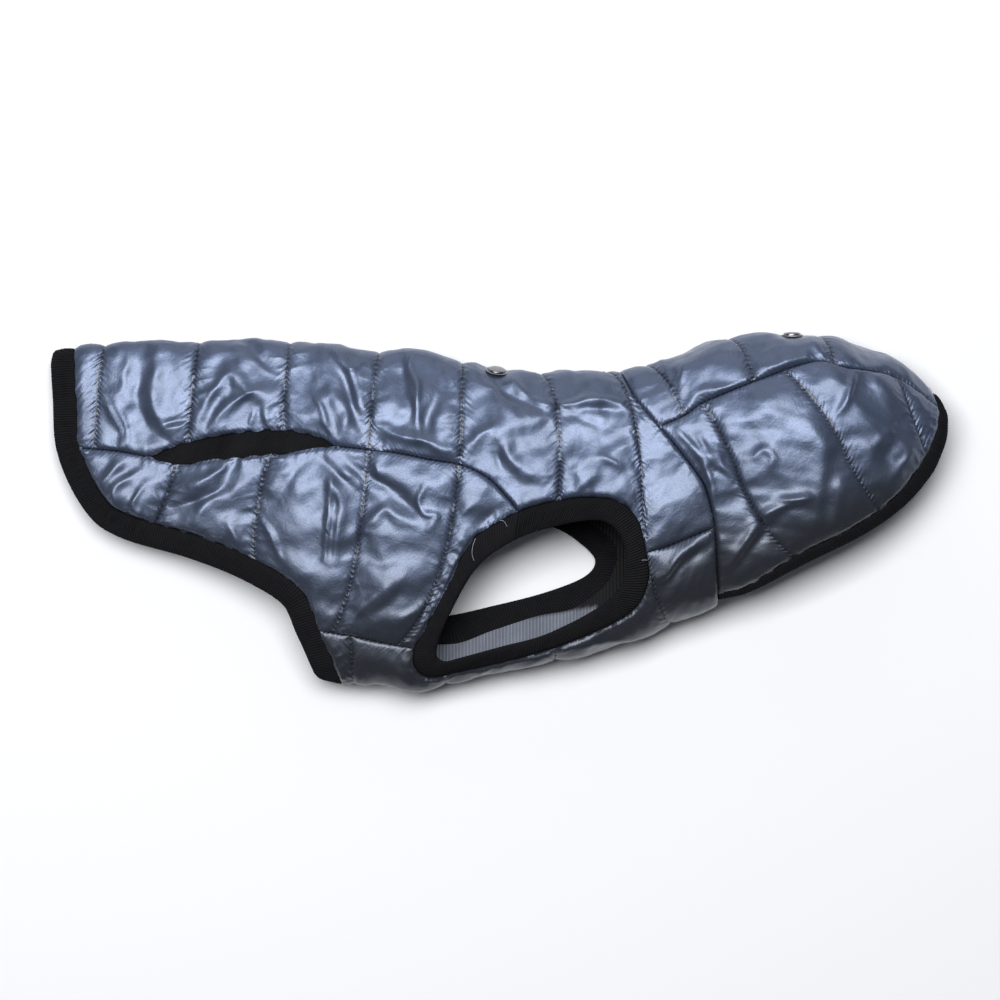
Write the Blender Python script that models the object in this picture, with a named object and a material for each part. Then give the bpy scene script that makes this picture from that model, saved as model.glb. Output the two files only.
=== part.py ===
"""Quilted dog coat with a hood, lying on its side. Sizes are in millimetres and turned into metres by MM.

The cloth is one flattened tube that runs along X, from the tail hem to the hood's opening. A place on it is
(x, turn): turn is 0 along the spine fold and 180 along the belly fold, positive over the upper side and
negative under the lower side. Each sewn piece is a wall between four seams drawn in these two numbers, so
neighbours share their seam points and stay parallel to each other.
"""

import math

import bmesh
import bpy
import numpy as np

MM = 0.001
CELL = 8.0  # aimed length of a grid cell along a seam
CHEST_CELLS = 3  # number of them along the chest seam
ROW = 10.0  # aimed length of a grid cell across a panel
FOLD_ROW = 7.5  # and where the panel turns over the spine
LINE_SAMPLES = 200  # points read along a drawn line
SEAM_GAP = 0.42  # clear gap between two neighbouring pieces
WALL_AT_STITCH = 2.0  # cloth and lining sewn together
WALL_AT_PUFF = 4.6  # cloth, wadding and lining between two stitched lines
PUFF_RISE = 15.0  # distance from a seam over which the wadding reaches its full height
FULL_CHANNEL = 26.0  # a channel narrower than this is padded less
FLATNESS = 0.65  # power of the puffs' arches, flatter on top as it falls
UNDER_FACE = 3.5  # height of the lower side's inner face above the floor
TOP_POWER = 2.3  # roundness of the section's upper half
UNDER_POWER = 4.0  # the lower half is nearly flat
FOLD_SHARE = 0.36  # height of the folds as a share of the section's height
HEM_BINDING = 13.0
# Width of the face binding from its ends at the neck, share 0, to the spine fold, share 1
FACE_BINDING = ((0, 5.5), (0.1, 5.5), (0.25, 8.0), (0.55, 9.0), (0.75, 11.0), (0.88, 7.5), (1, 5.5))
BINDING_OUT = 2.4  # rib binding outside the cloth's inner face
BINDING_IN = 0.4  # and inside it
INSERT_OUT = 1.2
EDGE_THINNING = 0.7  # thickness of a binding at its free edge, against the rest of it
SNAP = {"radius": 5.5, "rim": 0.6, "height": 1.9, "lift": 0.5, "sides": 18}
SNAP_PRESS = {"depth": 2.2, "reach": 13.0}  # a snap presses the wadding under it
SNAP_PLACES = (("snap_back", (-1, 9.5)), ("snap_hood", (147, 3)))  # each at its (x, turn)

# Sections across the coat: x, y of the spine fold, y of the belly fold, height of the upper inner face.
# Beyond the hem and the hood's opening the folds go on as if the tube did.
SECTIONS = np.array(
    (
        (-232, 78.6, 4.0, 9.0),
        (-219, 78.8, -8.0, 10.0),
        (-207, 79.6, -20.0, 12.0),
        (-193, 80.0, -30.0, 14.0),
        (-166, 80.8, -38.0, 18.0),
        (-137, 81.5, -50.0, 22.0),
        (-109, 81.0, -67.0, 26.0),
        (-99, 80.7, -75.0, 28.0),
        (-91, 79.4, -81.5, 29.0),
        (-80, 78.0, -84.5, 31.0),
        (-62, 76.2, -83.8, 33.0),
        (-38, 74.7, -86.2, 36.0),
        (-20, 71.2, -82.5, 38.0),
        (0, 67.3, -77.0, 39.0),
        (21, 65.0, -73.6, 40.0),
        (51, 66.0, -65.7, 41.0),
        (74, 69.0, -58.0, 41.0),
        (92, 74.6, -51.5, 41.0),
        (109, 81.2, -45.0, 42.0),
        (122, 83.3, -43.5, 43.0),
        (141, 84.2, -38.0, 45.0),
        (166, 83.0, -26.5, 45.0),
        (186, 76.0, -16.0, 41.0),
        (204, 66.5, -3.5, 34.0),
        (217, 56.5, 10.0, 27.0),
        (229, 47.5, 25.0, 19.0),
        (243, 39.0, 35.0, 10.0),
    ),
    float,
)
X, SPINE, BELLY, HEIGHT = SECTIONS.T

# Seams and edges in plan, each a smooth line through (x, y). Those that cross a fold end just past it.
HEM = (
    (-212.5, 80), (-211, 57), (-209, 31), (-198, 8), (-185, -2), (-151, -12), (-122, -23.5),
    (-98, -39), (-88, -60), (-76.5, -88),
)  # fmt: skip
HEM_SIDE, HEM_CORNER, HEM_BELLY, HEM_END = 2, 4, 8, 9
SIDE_REAR = ((-209, 31), (-190, 29.5), (-175, 26.5))
INSERT_UPPER = ((-175, 26.5), (-158.5, 33), (-134.5, 38), (-109, 40), (-91, 37), (-79.5, 31.5))
INSERT_LOWER = ((-175, 26.5), (-160.5, 22.7), (-138, 25), (-112, 27.3), (-95.5, 29.5), (-79.5, 31.5))
SIDE_FRONT = ((-79.5, 31.5), (-52, 28.5), (-34, 25), (-17.5, 22), (-4.5, 15.5), (4.5, 6.5), (10, -0.5))
LEG_TOP = ((10, -0.5), (22.5, 3.5), (41, 6.5), (56, 5.5), (65, 1), (70, -6.5), (73.5, -21))
LEG_REAR = ((10, -0.5), (2, -4.5), (-13.5, -15.5), (-27.5, -42), (-42, -68.5))
LEG_LOW = (
    (-42, -68.5), (-41.5, -77.5), (-34.5, -82.6), (-18.5, -79.4), (21.5, -69.6), (51, -58.5),
    (68, -48), (74.5, -34), (73.5, -21),
)  # fmt: skip
BELLY_SEAM = ((-88, -60), (-71.5, -62.5), (-42, -68.5))
CHEST_SEAM = ((73.5, -21), (87.5, -16), (107, -8))
NECK = (
    (60.5, 69), (63.5, 63), (69.5, 52.5), (80, 41), (98.5, 18), (103.5, 8), (107, -8),
    (108.5, -28), (109.3, -40), (109.5, -50),
)  # fmt: skip
NECK_CROWN, NECK_CHEST, NECK_FACE, NECK_END = 3, 6, 8, 9
CROWN = (
    (80, 41), (92.5, 46.5), (103.5, 53.5), (131, 64.5), (156.5, 72.5), (172.5, 69.5), (191, 66.5),
    (203, 61.5), (217.8, 50.5),
)  # fmt: skip
FACE = (
    (109.3, -40), (124.5, -35.5), (146.5, -21.5), (178.5, -5), (199, 11), (214.5, 33.5),
    (218.2, 46), (217.8, 50.5), (216.8, 54.5), (215.5, 58.4),
)  # fmt: skip
FACE_TIP, FACE_CROWN, FACE_END = 5.3, 7, 9
LEG_OPENING = (
    (8, -15), (26.5, -8.5), (49.5, -5), (60, -12), (63, -25), (60, -38), (48, -49), (23.5, -61.5),
    (2, -67.5), (-18, -73), (-27, -75), (-30.5, -69.5), (-24.5, -53), (-10.5, -28.5),
)  # fmt: skip
OPENING_CORNERS = 4, 11  # its points across from the front and rear corners of the leg hole

# The lower side's leg hole lies further back and higher, so the lines that meet it have their own points.
FAR_SIDE_FRONT = ((-79.5, 31.5), (-52, 28), (-30, 22), (-13, 14), (-4, 7))
FAR_LEG_TOP = ((-4, 7), (12, 7.5), (32, 1.5), (47, -7), (58, -16), (60.5, -25))
FAR_LEG_REAR = ((-4, 7), (-18, 3), (-38, -11), (-53, -32), (-51, -58))
FAR_LEG_LOW = (
    (-51, -58), (-44, -66), (-22, -67.5), (-2, -60.5), (20, -53.5), (38, -49.5), (54, -38), (60.5, -25),
)  # fmt: skip
FAR_BELLY_SEAM = ((-88, -60), (-70, -61), (-51, -58))
FAR_CHEST_SEAM = ((60.5, -25), (84, -17), (107, -8))
FAR_LEG_OPENING = (
    (-8, -5), (8, -3.5), (28.5, -9), (41, -16.5), (49, -25.5), (43, -34), (22.5, -42), (-3, -48.5),
    (-23, -53), (-38, -54.5), (-45, -46), (-42, -32), (-27, -16),
)  # fmt: skip
FAR_OPENING_CORNERS = 4, 9

# Stitched quilting lines. Each row: x on the panel's upper edge, x on its lower edge, and how far the
# line's middle stands off the straight run between them. The upper edge of back and crown is the spine.
BACK_LINES = (
    (-197.5, -202, 0), (-149.5, -154.5, 0.5), (-104, -106.5, 0), (-59.5, -64, 0.5), (-18.5, -18.7, 1),
    (20.5, 30, 4), (54, 72.5, 4.5),
)  # fmt: skip
LAST_BACK_LINE = 5.4  # where it meets LEG_TOP, counted in that line's points
# A side line has its middle's stand-off on the lower side too.
SIDE_LINES = ((-160.5, -171, 0, 0), (-112.5, -121, -3, -3), (-64, -82, 3, -2), (-18.7, -50, 6, -17))
HOOD_LINES = ((101.5, 146, -2), (141.5, 187.5, 4), (197.5, 211.5, -1))
CROWN_LINES = ((74, 92.5, 0), (115, 126.5, 1), (159, 166, 1))
# On the belly: x on the leg side and x on the fold. The last one starts at the leg hole's front corner.
BELLY_LINES = ((-73, -72.5), (-26, -27), (28.5, 28), (None, 86))
FOLD_UNDER_LEG = -54.0  # x on the fold across from the leg hole's rear corner
FAR_SIDE_ENDS = (0.11, 1.75)  # where the last two side lines meet FAR_BELLY_SEAM, counted in its points

COLOURS = {  # colour, roughness, metallic
    "shell": ((0.17, 0.20, 0.27), 0.38, 0.55),
    "rib": ((0.012, 0.012, 0.014), 0.85, 0.0),
    "snap": ((0.16, 0.16, 0.17), 0.32, 1.0),
}


def smooth(at, stations, values):
    """A smooth line through (stations, values), read at the places in at."""
    slope = np.gradient(values, stations)
    i = np.clip(np.searchsorted(stations, at) - 1, 0, len(stations) - 2)
    step = stations[i + 1] - stations[i]
    t = (at - stations[i]) / step
    start = (2 * t**3 - 3 * t**2 + 1) * values[i] + (t**3 - 2 * t**2 + t) * step * slope[i]
    return start + (3 * t**2 - 2 * t**3) * values[i + 1] + (t**3 - t**2) * step * slope[i + 1]


def section(x):
    """Middle y, half width, fold height, rise above the folds and drop below them."""
    spine, belly, height = (smooth(x, X, column) for column in (SPINE, BELLY, HEIGHT))
    fold = UNDER_FACE + FOLD_SHARE * (height - UNDER_FACE)
    return (spine + belly) / 2, (spine - belly) / 2, fold, height - fold, fold - UNDER_FACE


def surface(place):
    """Points of the tube's inner face at an array of (x, turn)."""
    x, turn = place[..., 0], (place[..., 1] + 180) % 360 - 180
    middle, half, fold, rise, drop = section(x)
    cosine = np.cos(np.radians(turn))
    across = np.sign(cosine) * np.abs(cosine) ** (2 / TOP_POWER)
    share = np.abs(across).clip(0, 1)
    upper = rise * (1 - share**TOP_POWER) ** (1 / TOP_POWER)
    lower = -drop * (1 - share**UNDER_POWER) ** (1 / UNDER_POWER)
    return np.stack([x, middle + half * across, fold + np.where(turn >= 0, upper, lower)], -1)


def slopes(place):
    """How a point moves for each mm of x and each degree of turn."""
    along, around = np.array((0.5, 0.0)), np.array((0.0, 0.5))
    return surface(place + along) - surface(place - along), surface(place + around) - surface(place - around)


def unit(vectors):
    return vectors / np.maximum(np.linalg.norm(vectors, axis=-1, keepdims=True), 1e-9)


def outward(place):
    along, around = slopes(place)
    return unit(np.cross(around, along))


def turn_of(x, y):
    """The turn of the upper side's point over (x, y), held at the fold beyond it."""
    middle, half = section(x)[:2]
    across = ((y - middle) / half).clip(-1, 1)
    return np.degrees(np.arccos(np.sign(across) * np.abs(across) ** (TOP_POWER / 2)))


def lengths(place):
    """Running length along a line of (x, turn)."""
    steps = np.linalg.norm(np.diff(surface(place), axis=0), axis=-1)
    return np.concatenate([[0.0], np.cumsum(steps)])


def read_line(line, start, end, closed=False):
    """Dense (x, turn) along a drawn line, between two of its points given by number or by x."""
    points = np.array(line, float)
    if closed:
        points = np.concatenate([points[-1:], points, points[:2]])
        start, end = start + 1, end + 1
    knots = np.arange(len(points), dtype=float)
    t = np.linspace(start, end, LINE_SAMPLES)
    x, y = (smooth(t, knots, points[:, i]) for i in (0, 1))
    return np.stack([x, turn_of(x, y)], -1)


def number_at(line, x):
    """The place on a drawn line, counted in its points, where it first reaches x."""
    points = np.array(line, float)
    t = np.linspace(0, len(line) - 1, 10 * LINE_SAMPLES)
    beyond = smooth(t, np.arange(len(line), dtype=float), points[:, 0]) >= x
    return t[np.argmax(beyond)]


def stretch(line, start, end, count=None, cell=CELL, closed=False):
    """Evenly spaced (x, turn) along part of a drawn line."""
    dense = read_line(line, start, end, closed)
    run = lengths(dense)
    count = count or max(1, round(run[-1] / cell))
    even = np.linspace(0, run[-1], count + 1)
    return np.stack([np.interp(even, run, dense[:, i]) for i in (0, 1)], -1)


def chain(*parts):
    """Joined stretches, and the number of the point where each begins and the last ends."""
    joined, marks = parts[0], [0, len(parts[0]) - 1]
    for part in parts[1:]:
        joined = np.concatenate([joined, part[1:]])
        marks.append(len(joined) - 1)
    return joined, marks


def between(marks, values):
    """A value for each point of a chain, running evenly from mark to mark."""
    return np.interp(np.arange(marks[-1] + 1), marks, values)


def patch(upper, lower, left, right, lines, bows):
    """Grid of (x, turn) between four edges, its columns lined up with the stitched lines."""
    columns, rows = len(upper), len(left)
    r = np.linspace(0, 1, rows)[None, :, None]
    grid = upper[:, None] * (1 - r) + lower[:, None] * r
    grid[..., :1] += 4 * r * (1 - r) * between(lines, bows)[:, None, None]
    number = np.arange(columns)[:, None, None]
    near_left = (1 - number / lines[1]).clip(0, 1)
    near_right = (1 - (columns - 1 - number) / (lines[-1] - lines[-2])).clip(0, 1)
    return grid + near_left * (left - grid[0]) + near_right * (right - grid[-1])


def mirrored(grid):
    return grid * np.array((1, -1))


def padded(grid, lines):
    """Wall height over a grid: low on the stitched lines and seams, full between them."""
    points = surface(grid)
    height = np.zeros(grid.shape[:2])
    for first, last in zip(lines[:-1], lines[1:]):
        width = np.linalg.norm(points[last] - points[first], axis=-1)
        fill = np.minimum(1, width / FULL_CHANNEL) ** FLATNESS
        for k in range(first, last + 1):
            arch = max(0.0, math.sin(math.pi * (k - first) / (last - first)))
            height[k] = arch**FLATNESS * fill
    steps = np.linalg.norm(np.diff(points, axis=1), axis=-1)
    run = np.concatenate([np.zeros((len(grid), 1)), np.cumsum(steps, axis=1)], axis=1)
    to_seam = np.minimum(run, run[:, -1:] - run) / PUFF_RISE
    height *= np.sin(np.pi / 2 * to_seam.clip(0, 1)) ** FLATNESS
    full = WALL_AT_STITCH + (WALL_AT_PUFF - WALL_AT_STITCH) * height
    return np.minimum(full, WALL_AT_PUFF - pressed(points))


def pressed(points):
    """How deep the snaps press the wadding in at each point."""
    depth = np.zeros(points.shape[:-1])
    for _, place in SNAP_PLACES:
        away = np.linalg.norm(points - surface(np.array(place, float)), axis=-1)
        depth = np.maximum(depth, SNAP_PRESS["depth"] * np.exp(-((away / SNAP_PRESS["reach"]) ** 4)))
    return depth


def edge_normals(points, inner_points, normals, closed):
    """Vectors in the cloth that point from an edge into its piece, longer where the edge turns sharply."""
    ahead = unit(np.roll(points, -1, 0) - points)
    behind = np.roll(ahead, 1, 0)
    if not closed:
        ahead[-1], behind[0] = ahead[-2], ahead[0]
    mean = (ahead + behind) / 2
    aside = unit(np.cross(normals, mean))
    aside *= np.sign((aside * (inner_points - points)).sum(-1, keepdims=True))
    return aside / np.maximum(np.linalg.norm(mean, axis=-1, keepdims=True), 0.5)


def seam_inset(points, normals, closed):
    """How far each point of a piece moves in from its seams."""
    moved = np.zeros_like(points)
    for end, inside in ((0, 1), (-1, -2)):
        moved[:, end] = edge_normals(points[:, end], points[:, inside], normals[:, end], closed)
    if not closed:
        for end, inside in ((0, 1), (-1, -2)):
            aside = edge_normals(points[end], points[inside], normals[end], False)
            together = (aside * moved[end]).sum(-1, keepdims=True)
            moved[end] = (moved[end] + aside) / np.maximum(1 + together, 0.35)
    return moved * SEAM_GAP / 2


def make_wall(name, grid, height, finish, inside=0.0, closed=False):
    """A closed wall: the grid lifted by height, the same grid let in by inside, and the rim between."""
    points, normals = surface(grid), outward(grid)
    inset = seam_inset(points, normals, closed)
    skins = [points + inset + normals * height[..., None], points + inset - normals * inside]
    for skin in skins:
        skin[..., 2] = skin[..., 2].clip(0)
    mesh = bmesh.new()
    outer, inner = ([[mesh.verts.new(p * MM) for p in column] for column in skin] for skin in skins)
    columns, rows = grid.shape[:2]
    pairs = [(k, (k + 1) % columns) for k in range(columns if closed else columns - 1)]
    for a, b in pairs:
        for r in range(rows - 1):
            mesh.faces.new((outer[a][r], outer[b][r], outer[b][r + 1], outer[a][r + 1]))
            mesh.faces.new((inner[a][r], inner[a][r + 1], inner[b][r + 1], inner[b][r]))
        for r in (0, rows - 1):
            mesh.faces.new((outer[a][r], outer[b][r], inner[b][r], inner[a][r]))
    if not closed:
        for k in (0, columns - 1):
            for r in range(rows - 1):
                mesh.faces.new((outer[k][r], outer[k][r + 1], inner[k][r + 1], inner[k][r]))
    return finish_object(name, mesh, finish)


def finish_object(name, mesh, finish):
    bmesh.ops.recalc_face_normals(mesh, faces=mesh.faces)
    data = bpy.data.meshes.new(name)
    mesh.to_mesh(data)
    mesh.free()
    data.shade_smooth()
    data.set_sharp_from_angle(angle=math.radians(50))
    data.materials.append(finish_material(name, finish))
    made = bpy.data.objects.new(name, data)
    bpy.context.scene.collection.objects.link(made)
    return made


def finish_material(name, finish):
    colour, roughness, metallic = COLOURS[finish]
    material = bpy.data.materials.new(name)
    material.use_nodes = True
    shader = material.node_tree.nodes["Principled BSDF"]
    shader.inputs["Base Color"].default_value = (*colour, 1)
    shader.inputs["Roughness"].default_value = roughness
    shader.inputs["Metallic"].default_value = metallic
    return material


def make_binding(name, edge, width, closed):
    """A ribbed binding along a cloth edge and folded over it, with its width at each of the edge's points."""
    rows = [edge]
    steps = 2
    for _ in range(steps):
        place = rows[-1]
        points = surface(place)
        tangent = np.roll(points, -1, 0) - np.roll(points, 1, 0) if closed else np.gradient(points, axis=0)
        aside = unit(np.cross(unit(tangent), outward(place))) * (width / steps)[:, None]
        moves = [
            np.linalg.lstsq(np.stack(pair, -1), step, rcond=None)[0]
            for pair, step in zip(zip(*slopes(place)), aside)
        ]
        rows.append(place + np.array(moves))
    grid = np.stack(rows, 1)
    height = BINDING_OUT * np.ones(grid.shape[:2])
    height[:, -1] *= EDGE_THINNING
    return make_wall(name, grid, height, "rib", BINDING_IN, closed)


def make_ring(name, cloth_edge, marks, opening, corners, mirror):
    """The binding round a leg hole, between the cloth's edge and the opening."""
    counts = np.diff(marks)
    ends = (0, *corners, len(opening))
    inner, _ = chain(*(stretch(opening, a, b, n, closed=True) for a, b, n in zip(ends, ends[1:], counts)))
    edges = [cloth_edge[:-1], inner[:-1]]
    grid = np.stack([edges[0], (edges[0] + edges[1]) / 2, edges[1]], 1)
    height = BINDING_OUT * np.ones(grid.shape[:2])
    height[:, -1] *= EDGE_THINNING
    return make_wall(name, mirrored(grid) if mirror else grid, height, "rib", BINDING_IN, True)


def make_insert(name, upper, lower, mirror):
    """The rib insert in the side seam: a lens between its two edges, ended just short of its points."""
    blunt = 0.35
    rows = np.stack([upper, (upper + lower) / 2, lower], 1)
    rows[0] += blunt * (rows[1] - rows[0])
    rows[-1] += blunt * (rows[-2] - rows[-1])
    height = INSERT_OUT * np.ones(rows.shape[:2])
    return make_wall(name, mirrored(rows) if mirror else rows, height, "rib")


def make_snap(name, place, cloth):
    """A domed snap cap on a flat rim, turned round the cloth's normal."""
    radius, rim, height = SNAP["radius"], SNAP["rim"], SNAP["height"]
    profile = [(0, 0), (radius, 0), (radius, rim), (radius - 0.9, rim + 0.1)]
    dome = [math.radians(a) for a in (20, 45, 70)]
    profile += [((radius - 0.9) * math.cos(a), rim + 0.1 + (height - rim) * math.sin(a)) for a in dome]
    profile.append((0, rim + 0.1 + height - rim))
    place = np.array(place, float)
    up = outward(place)
    side = unit(np.cross(up, (1.0, 0.0, 0.0)))
    forward = np.cross(side, up)
    base = surface(place) + up * (cloth + SNAP["lift"])
    mesh = bmesh.new()
    rings = []
    for r, h in profile:
        turns = np.linspace(0, 2 * math.pi, SNAP["sides"], endpoint=False) if r else [0.0]
        spots = [base + up * h + r * (forward * math.cos(a) + side * math.sin(a)) for a in turns]
        rings.append([mesh.verts.new(p * MM) for p in spots])
    for low, high in zip(rings, rings[1:]):
        for i in range(SNAP["sides"]):
            j = (i + 1) % SNAP["sides"]
            corners = (low[i % len(low)], low[j % len(low)], high[j % len(high)], high[i % len(high)])
            mesh.faces.new(tuple(dict.fromkeys(corners)))
    return finish_object(name, mesh, "snap")


def side_chains(side_front):
    """The side seam's stretches behind and before the rib insert, and the insert's two edges."""
    hem_x = BACK_LINES[0][1]
    q2, q3, q4, q5 = (line[1] for line in BACK_LINES[1:5])
    s1, s2, s3, s4 = (line[0] for line in SIDE_LINES)
    upper_ends = [0, number_at(INSERT_UPPER, q2), number_at(INSERT_UPPER, q3), len(INSERT_UPPER) - 1]
    lower_ends = [0, number_at(INSERT_LOWER, s1), number_at(INSERT_LOWER, s2), len(INSERT_LOWER) - 1]
    front_ends = [0, number_at(side_front, q4), number_at(side_front, q5), len(side_front) - 1]
    first = number_at(SIDE_REAR, hem_x)
    rear = [stretch(SIDE_REAR, 0, first), stretch(SIDE_REAR, first, len(SIDE_REAR) - 1)]
    upper = [stretch(INSERT_UPPER, a, b) for a, b in zip(upper_ends, upper_ends[1:])]
    counts = [len(part) - 1 for part in upper]
    lower = [stretch(INSERT_LOWER, a, b, n) for a, b, n in zip(lower_ends, lower_ends[1:], counts)]
    near_front = [number_at(SIDE_FRONT, q4), number_at(SIDE_FRONT, q5)]
    near_ends = [0, *near_front, len(SIDE_FRONT) - 1]
    front_counts = [len(stretch(SIDE_FRONT, a, b)) - 1 for a, b in zip(near_ends, near_ends[1:])]
    front = [stretch(side_front, a, b, n) for a, b, n in zip(front_ends, front_ends[1:], front_counts)]
    return rear, upper, lower, front


def leg_stretches(top, near_top):
    """The leg hole's upper edge in three stretches, split by the back panel's last two lines."""
    q6 = BACK_LINES[5][1]
    ends = [0, number_at(near_top, q6), LAST_BACK_LINE, len(near_top) - 1]
    counts = [len(stretch(near_top, a, b)) - 1 for a, b in zip(ends, ends[1:])]
    scale = (len(top) - 1) / (len(near_top) - 1)
    return [stretch(top, a * scale, b * scale, n) for a, b, n in zip(ends, ends[1:], counts)]


def make_half(far):
    """Every grid of one side of the coat, and the edges that its bindings follow."""
    side_front, leg_top, leg_rear, leg_low, belly_seam, chest_seam = (
        (FAR_SIDE_FRONT, FAR_LEG_TOP, FAR_LEG_REAR, FAR_LEG_LOW, FAR_BELLY_SEAM, FAR_CHEST_SEAM)
        if far
        else (SIDE_FRONT, LEG_TOP, LEG_REAR, LEG_LOW, BELLY_SEAM, CHEST_SEAM)
    )
    rear, insert_upper, insert_lower, front = side_chains(side_front)
    top = leg_stretches(leg_top, LEG_TOP)
    chest = stretch(chest_seam, 0, len(chest_seam) - 1, CHEST_CELLS)
    neck_crown = stretch(NECK, 0, NECK_CROWN, cell=FOLD_ROW)
    neck_side = stretch(NECK, NECK_CROWN, NECK_CHEST, cell=ROW)
    neck_chest = stretch(NECK, NECK_CHEST, NECK_FACE, cell=ROW)
    neck_fold = stretch(NECK, NECK_FACE, NECK_END, cell=ROW)

    # Back: from the spine down to the side seam, the leg hole and the chest seam.
    seam, marks = chain(*rear, *insert_upper, *front, *top, chest)
    lines = [0, marks[1], marks[3], marks[4], marks[6], marks[7], marks[9], marks[10], marks[-1]]
    right, _ = chain(neck_crown, neck_side)
    left = stretch(HEM, 0, HEM_SIDE, len(right) - 1)
    spine_x = [left[0, 0], *(line[0] for line in BACK_LINES), right[0, 0]]
    spine = np.stack([between(lines, spine_x), np.zeros(len(seam))], -1)
    back = patch(spine, seam, left, right, lines, [0, *(line[2] for line in BACK_LINES), 0])

    # Side: from the side seam down to the hem and the belly seam, and forward to the leg hole.
    upper, marks_side = chain(*rear, *insert_lower, *front)
    side_lines = [0, marks_side[3], marks_side[4], marks_side[6], marks_side[7], marks_side[8]]
    s1, s2, s3, s4 = (line[1] for line in SIDE_LINES)
    counts = np.diff(side_lines)
    at_s1, at_s2 = number_at(HEM, s1), number_at(HEM, s2)
    to_s3, to_s4 = FAR_SIDE_ENDS if far else (number_at(belly_seam, s3), number_at(belly_seam, s4))
    lower, marks_low = chain(
        stretch(HEM, HEM_CORNER, at_s1, counts[0]),
        stretch(HEM, at_s1, at_s2, counts[1]),
        stretch(HEM, at_s2, HEM_BELLY, counts[2] - 1),
        stretch(belly_seam, 0, to_s3, 1),
        stretch(belly_seam, to_s3, to_s4, counts[3]),
        stretch(belly_seam, to_s4, 2, counts[4]),
    )
    rear_cells = len(stretch(LEG_REAR, 0, len(LEG_REAR) - 1, cell=ROW)) - 1
    side_right = stretch(leg_rear, 0, len(leg_rear) - 1, rear_cells)
    side_left = stretch(HEM, HEM_SIDE, HEM_CORNER, len(side_right) - 1)
    side_bows = [0, *(line[3 if far else 2] for line in SIDE_LINES), 0]
    side = patch(upper, lower, side_left, side_right, side_lines, side_bows)

    # Belly: from the belly seam, the leg hole's lower edge and the chest seam down to the belly fold.
    rear_belly = lower[marks_low[3] :]
    b1 = int(np.argmin(np.abs(rear_belly[:, 0] - BELLY_LINES[0][0])))
    near_ends = [0, *(number_at(LEG_LOW, line[0]) for line in BELLY_LINES[1:3]), len(LEG_LOW) - 1]
    low_counts = [len(stretch(LEG_LOW, a, b)) - 1 for a, b in zip(near_ends, near_ends[1:])]
    scale = (len(leg_low) - 1) / (len(LEG_LOW) - 1)
    low_ends = [end * scale for end in near_ends]
    low = [stretch(leg_low, a, b, n) for a, b, n in zip(low_ends, low_ends[1:], low_counts)]
    edge, marks_belly = chain(rear_belly, *low, chest)
    neck_low, _ = chain(neck_chest, neck_fold)
    belly_left = stretch(HEM, HEM_BELLY, HEM_END, len(neck_low) - 1)
    belly_lines = [0, b1, marks_belly[2], marks_belly[3], marks_belly[4], marks_belly[5]]
    fold_marks = [0, b1, marks_belly[1], *belly_lines[2:]]
    line_x = [line[1] for line in BELLY_LINES]
    fold_x = [belly_left[-1, 0], line_x[0], FOLD_UNDER_LEG, *line_x[1:], neck_low[-1, 0]]
    fold = np.stack([between(fold_marks, fold_x), np.full(len(edge), 180.0)], -1)
    belly = patch(edge, fold, belly_left, neck_low, belly_lines, [0] * len(belly_lines))

    # Hood: a side from the crown seam down to the face edge, and half of the crown above it.
    breaks = sorted([line[0] for line in HOOD_LINES] + [line[1] for line in CROWN_LINES])
    crown_ends = [0, *(number_at(CROWN, x) for x in breaks), len(CROWN) - 1]
    crown_seam, crown_marks = chain(*(stretch(CROWN, a, b) for a, b in zip(crown_ends, crown_ends[1:])))
    hood_lines = [0, *(crown_marks[1 + breaks.index(line[0])] for line in HOOD_LINES), crown_marks[-1]]
    crown_lines = [0, *(crown_marks[1 + breaks.index(line[1])] for line in CROWN_LINES), crown_marks[-1]]
    face_ends = [0, *(number_at(FACE, line[1]) for line in HOOD_LINES), FACE_TIP]
    face_low, _ = chain(
        *(stretch(FACE, a, b, n) for a, b, n in zip(face_ends, face_ends[1:], np.diff(hood_lines)))
    )
    hood_left, _ = chain(neck_side, neck_chest)
    hood_right = stretch(FACE, FACE_CROWN, FACE_TIP, len(hood_left) - 1)
    hood_bows = [0, *(line[2] for line in HOOD_LINES), 0]
    hood = patch(crown_seam, face_low, hood_left, hood_right, hood_lines, hood_bows)
    crown_right = stretch(FACE, FACE_END, FACE_CROWN, len(neck_crown) - 1)
    crown_x = [neck_crown[0, 0], *(line[0] for line in CROWN_LINES), crown_right[0, 0]]
    crown_top = np.stack([between(crown_lines, crown_x), np.zeros(len(crown_seam))], -1)
    crown_bows = [0, *(line[2] for line in CROWN_LINES), 0]
    crown = patch(crown_top, crown_seam, neck_crown, crown_right, crown_lines, crown_bows)

    leg_edge, leg_marks = chain(chain(*top)[0], chain(*low)[0][::-1], side_right[::-1])
    hem_edge, _ = chain(left, side_left, lower[: marks_low[3] + 1], belly_left)
    face_edge, _ = chain(face_low, hood_right[::-1], crown_right[::-1])
    return {
        "back": (back, lines), "side": (side, side_lines), "belly": (belly, belly_lines),
        "hood": (hood, hood_lines), "crown": (crown, crown_lines),
        "leg": (leg_edge, leg_marks), "hem": hem_edge, "face": face_edge,
        "insert": (chain(*insert_upper)[0], chain(*insert_lower)[0]),
    }  # fmt: skip


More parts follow.
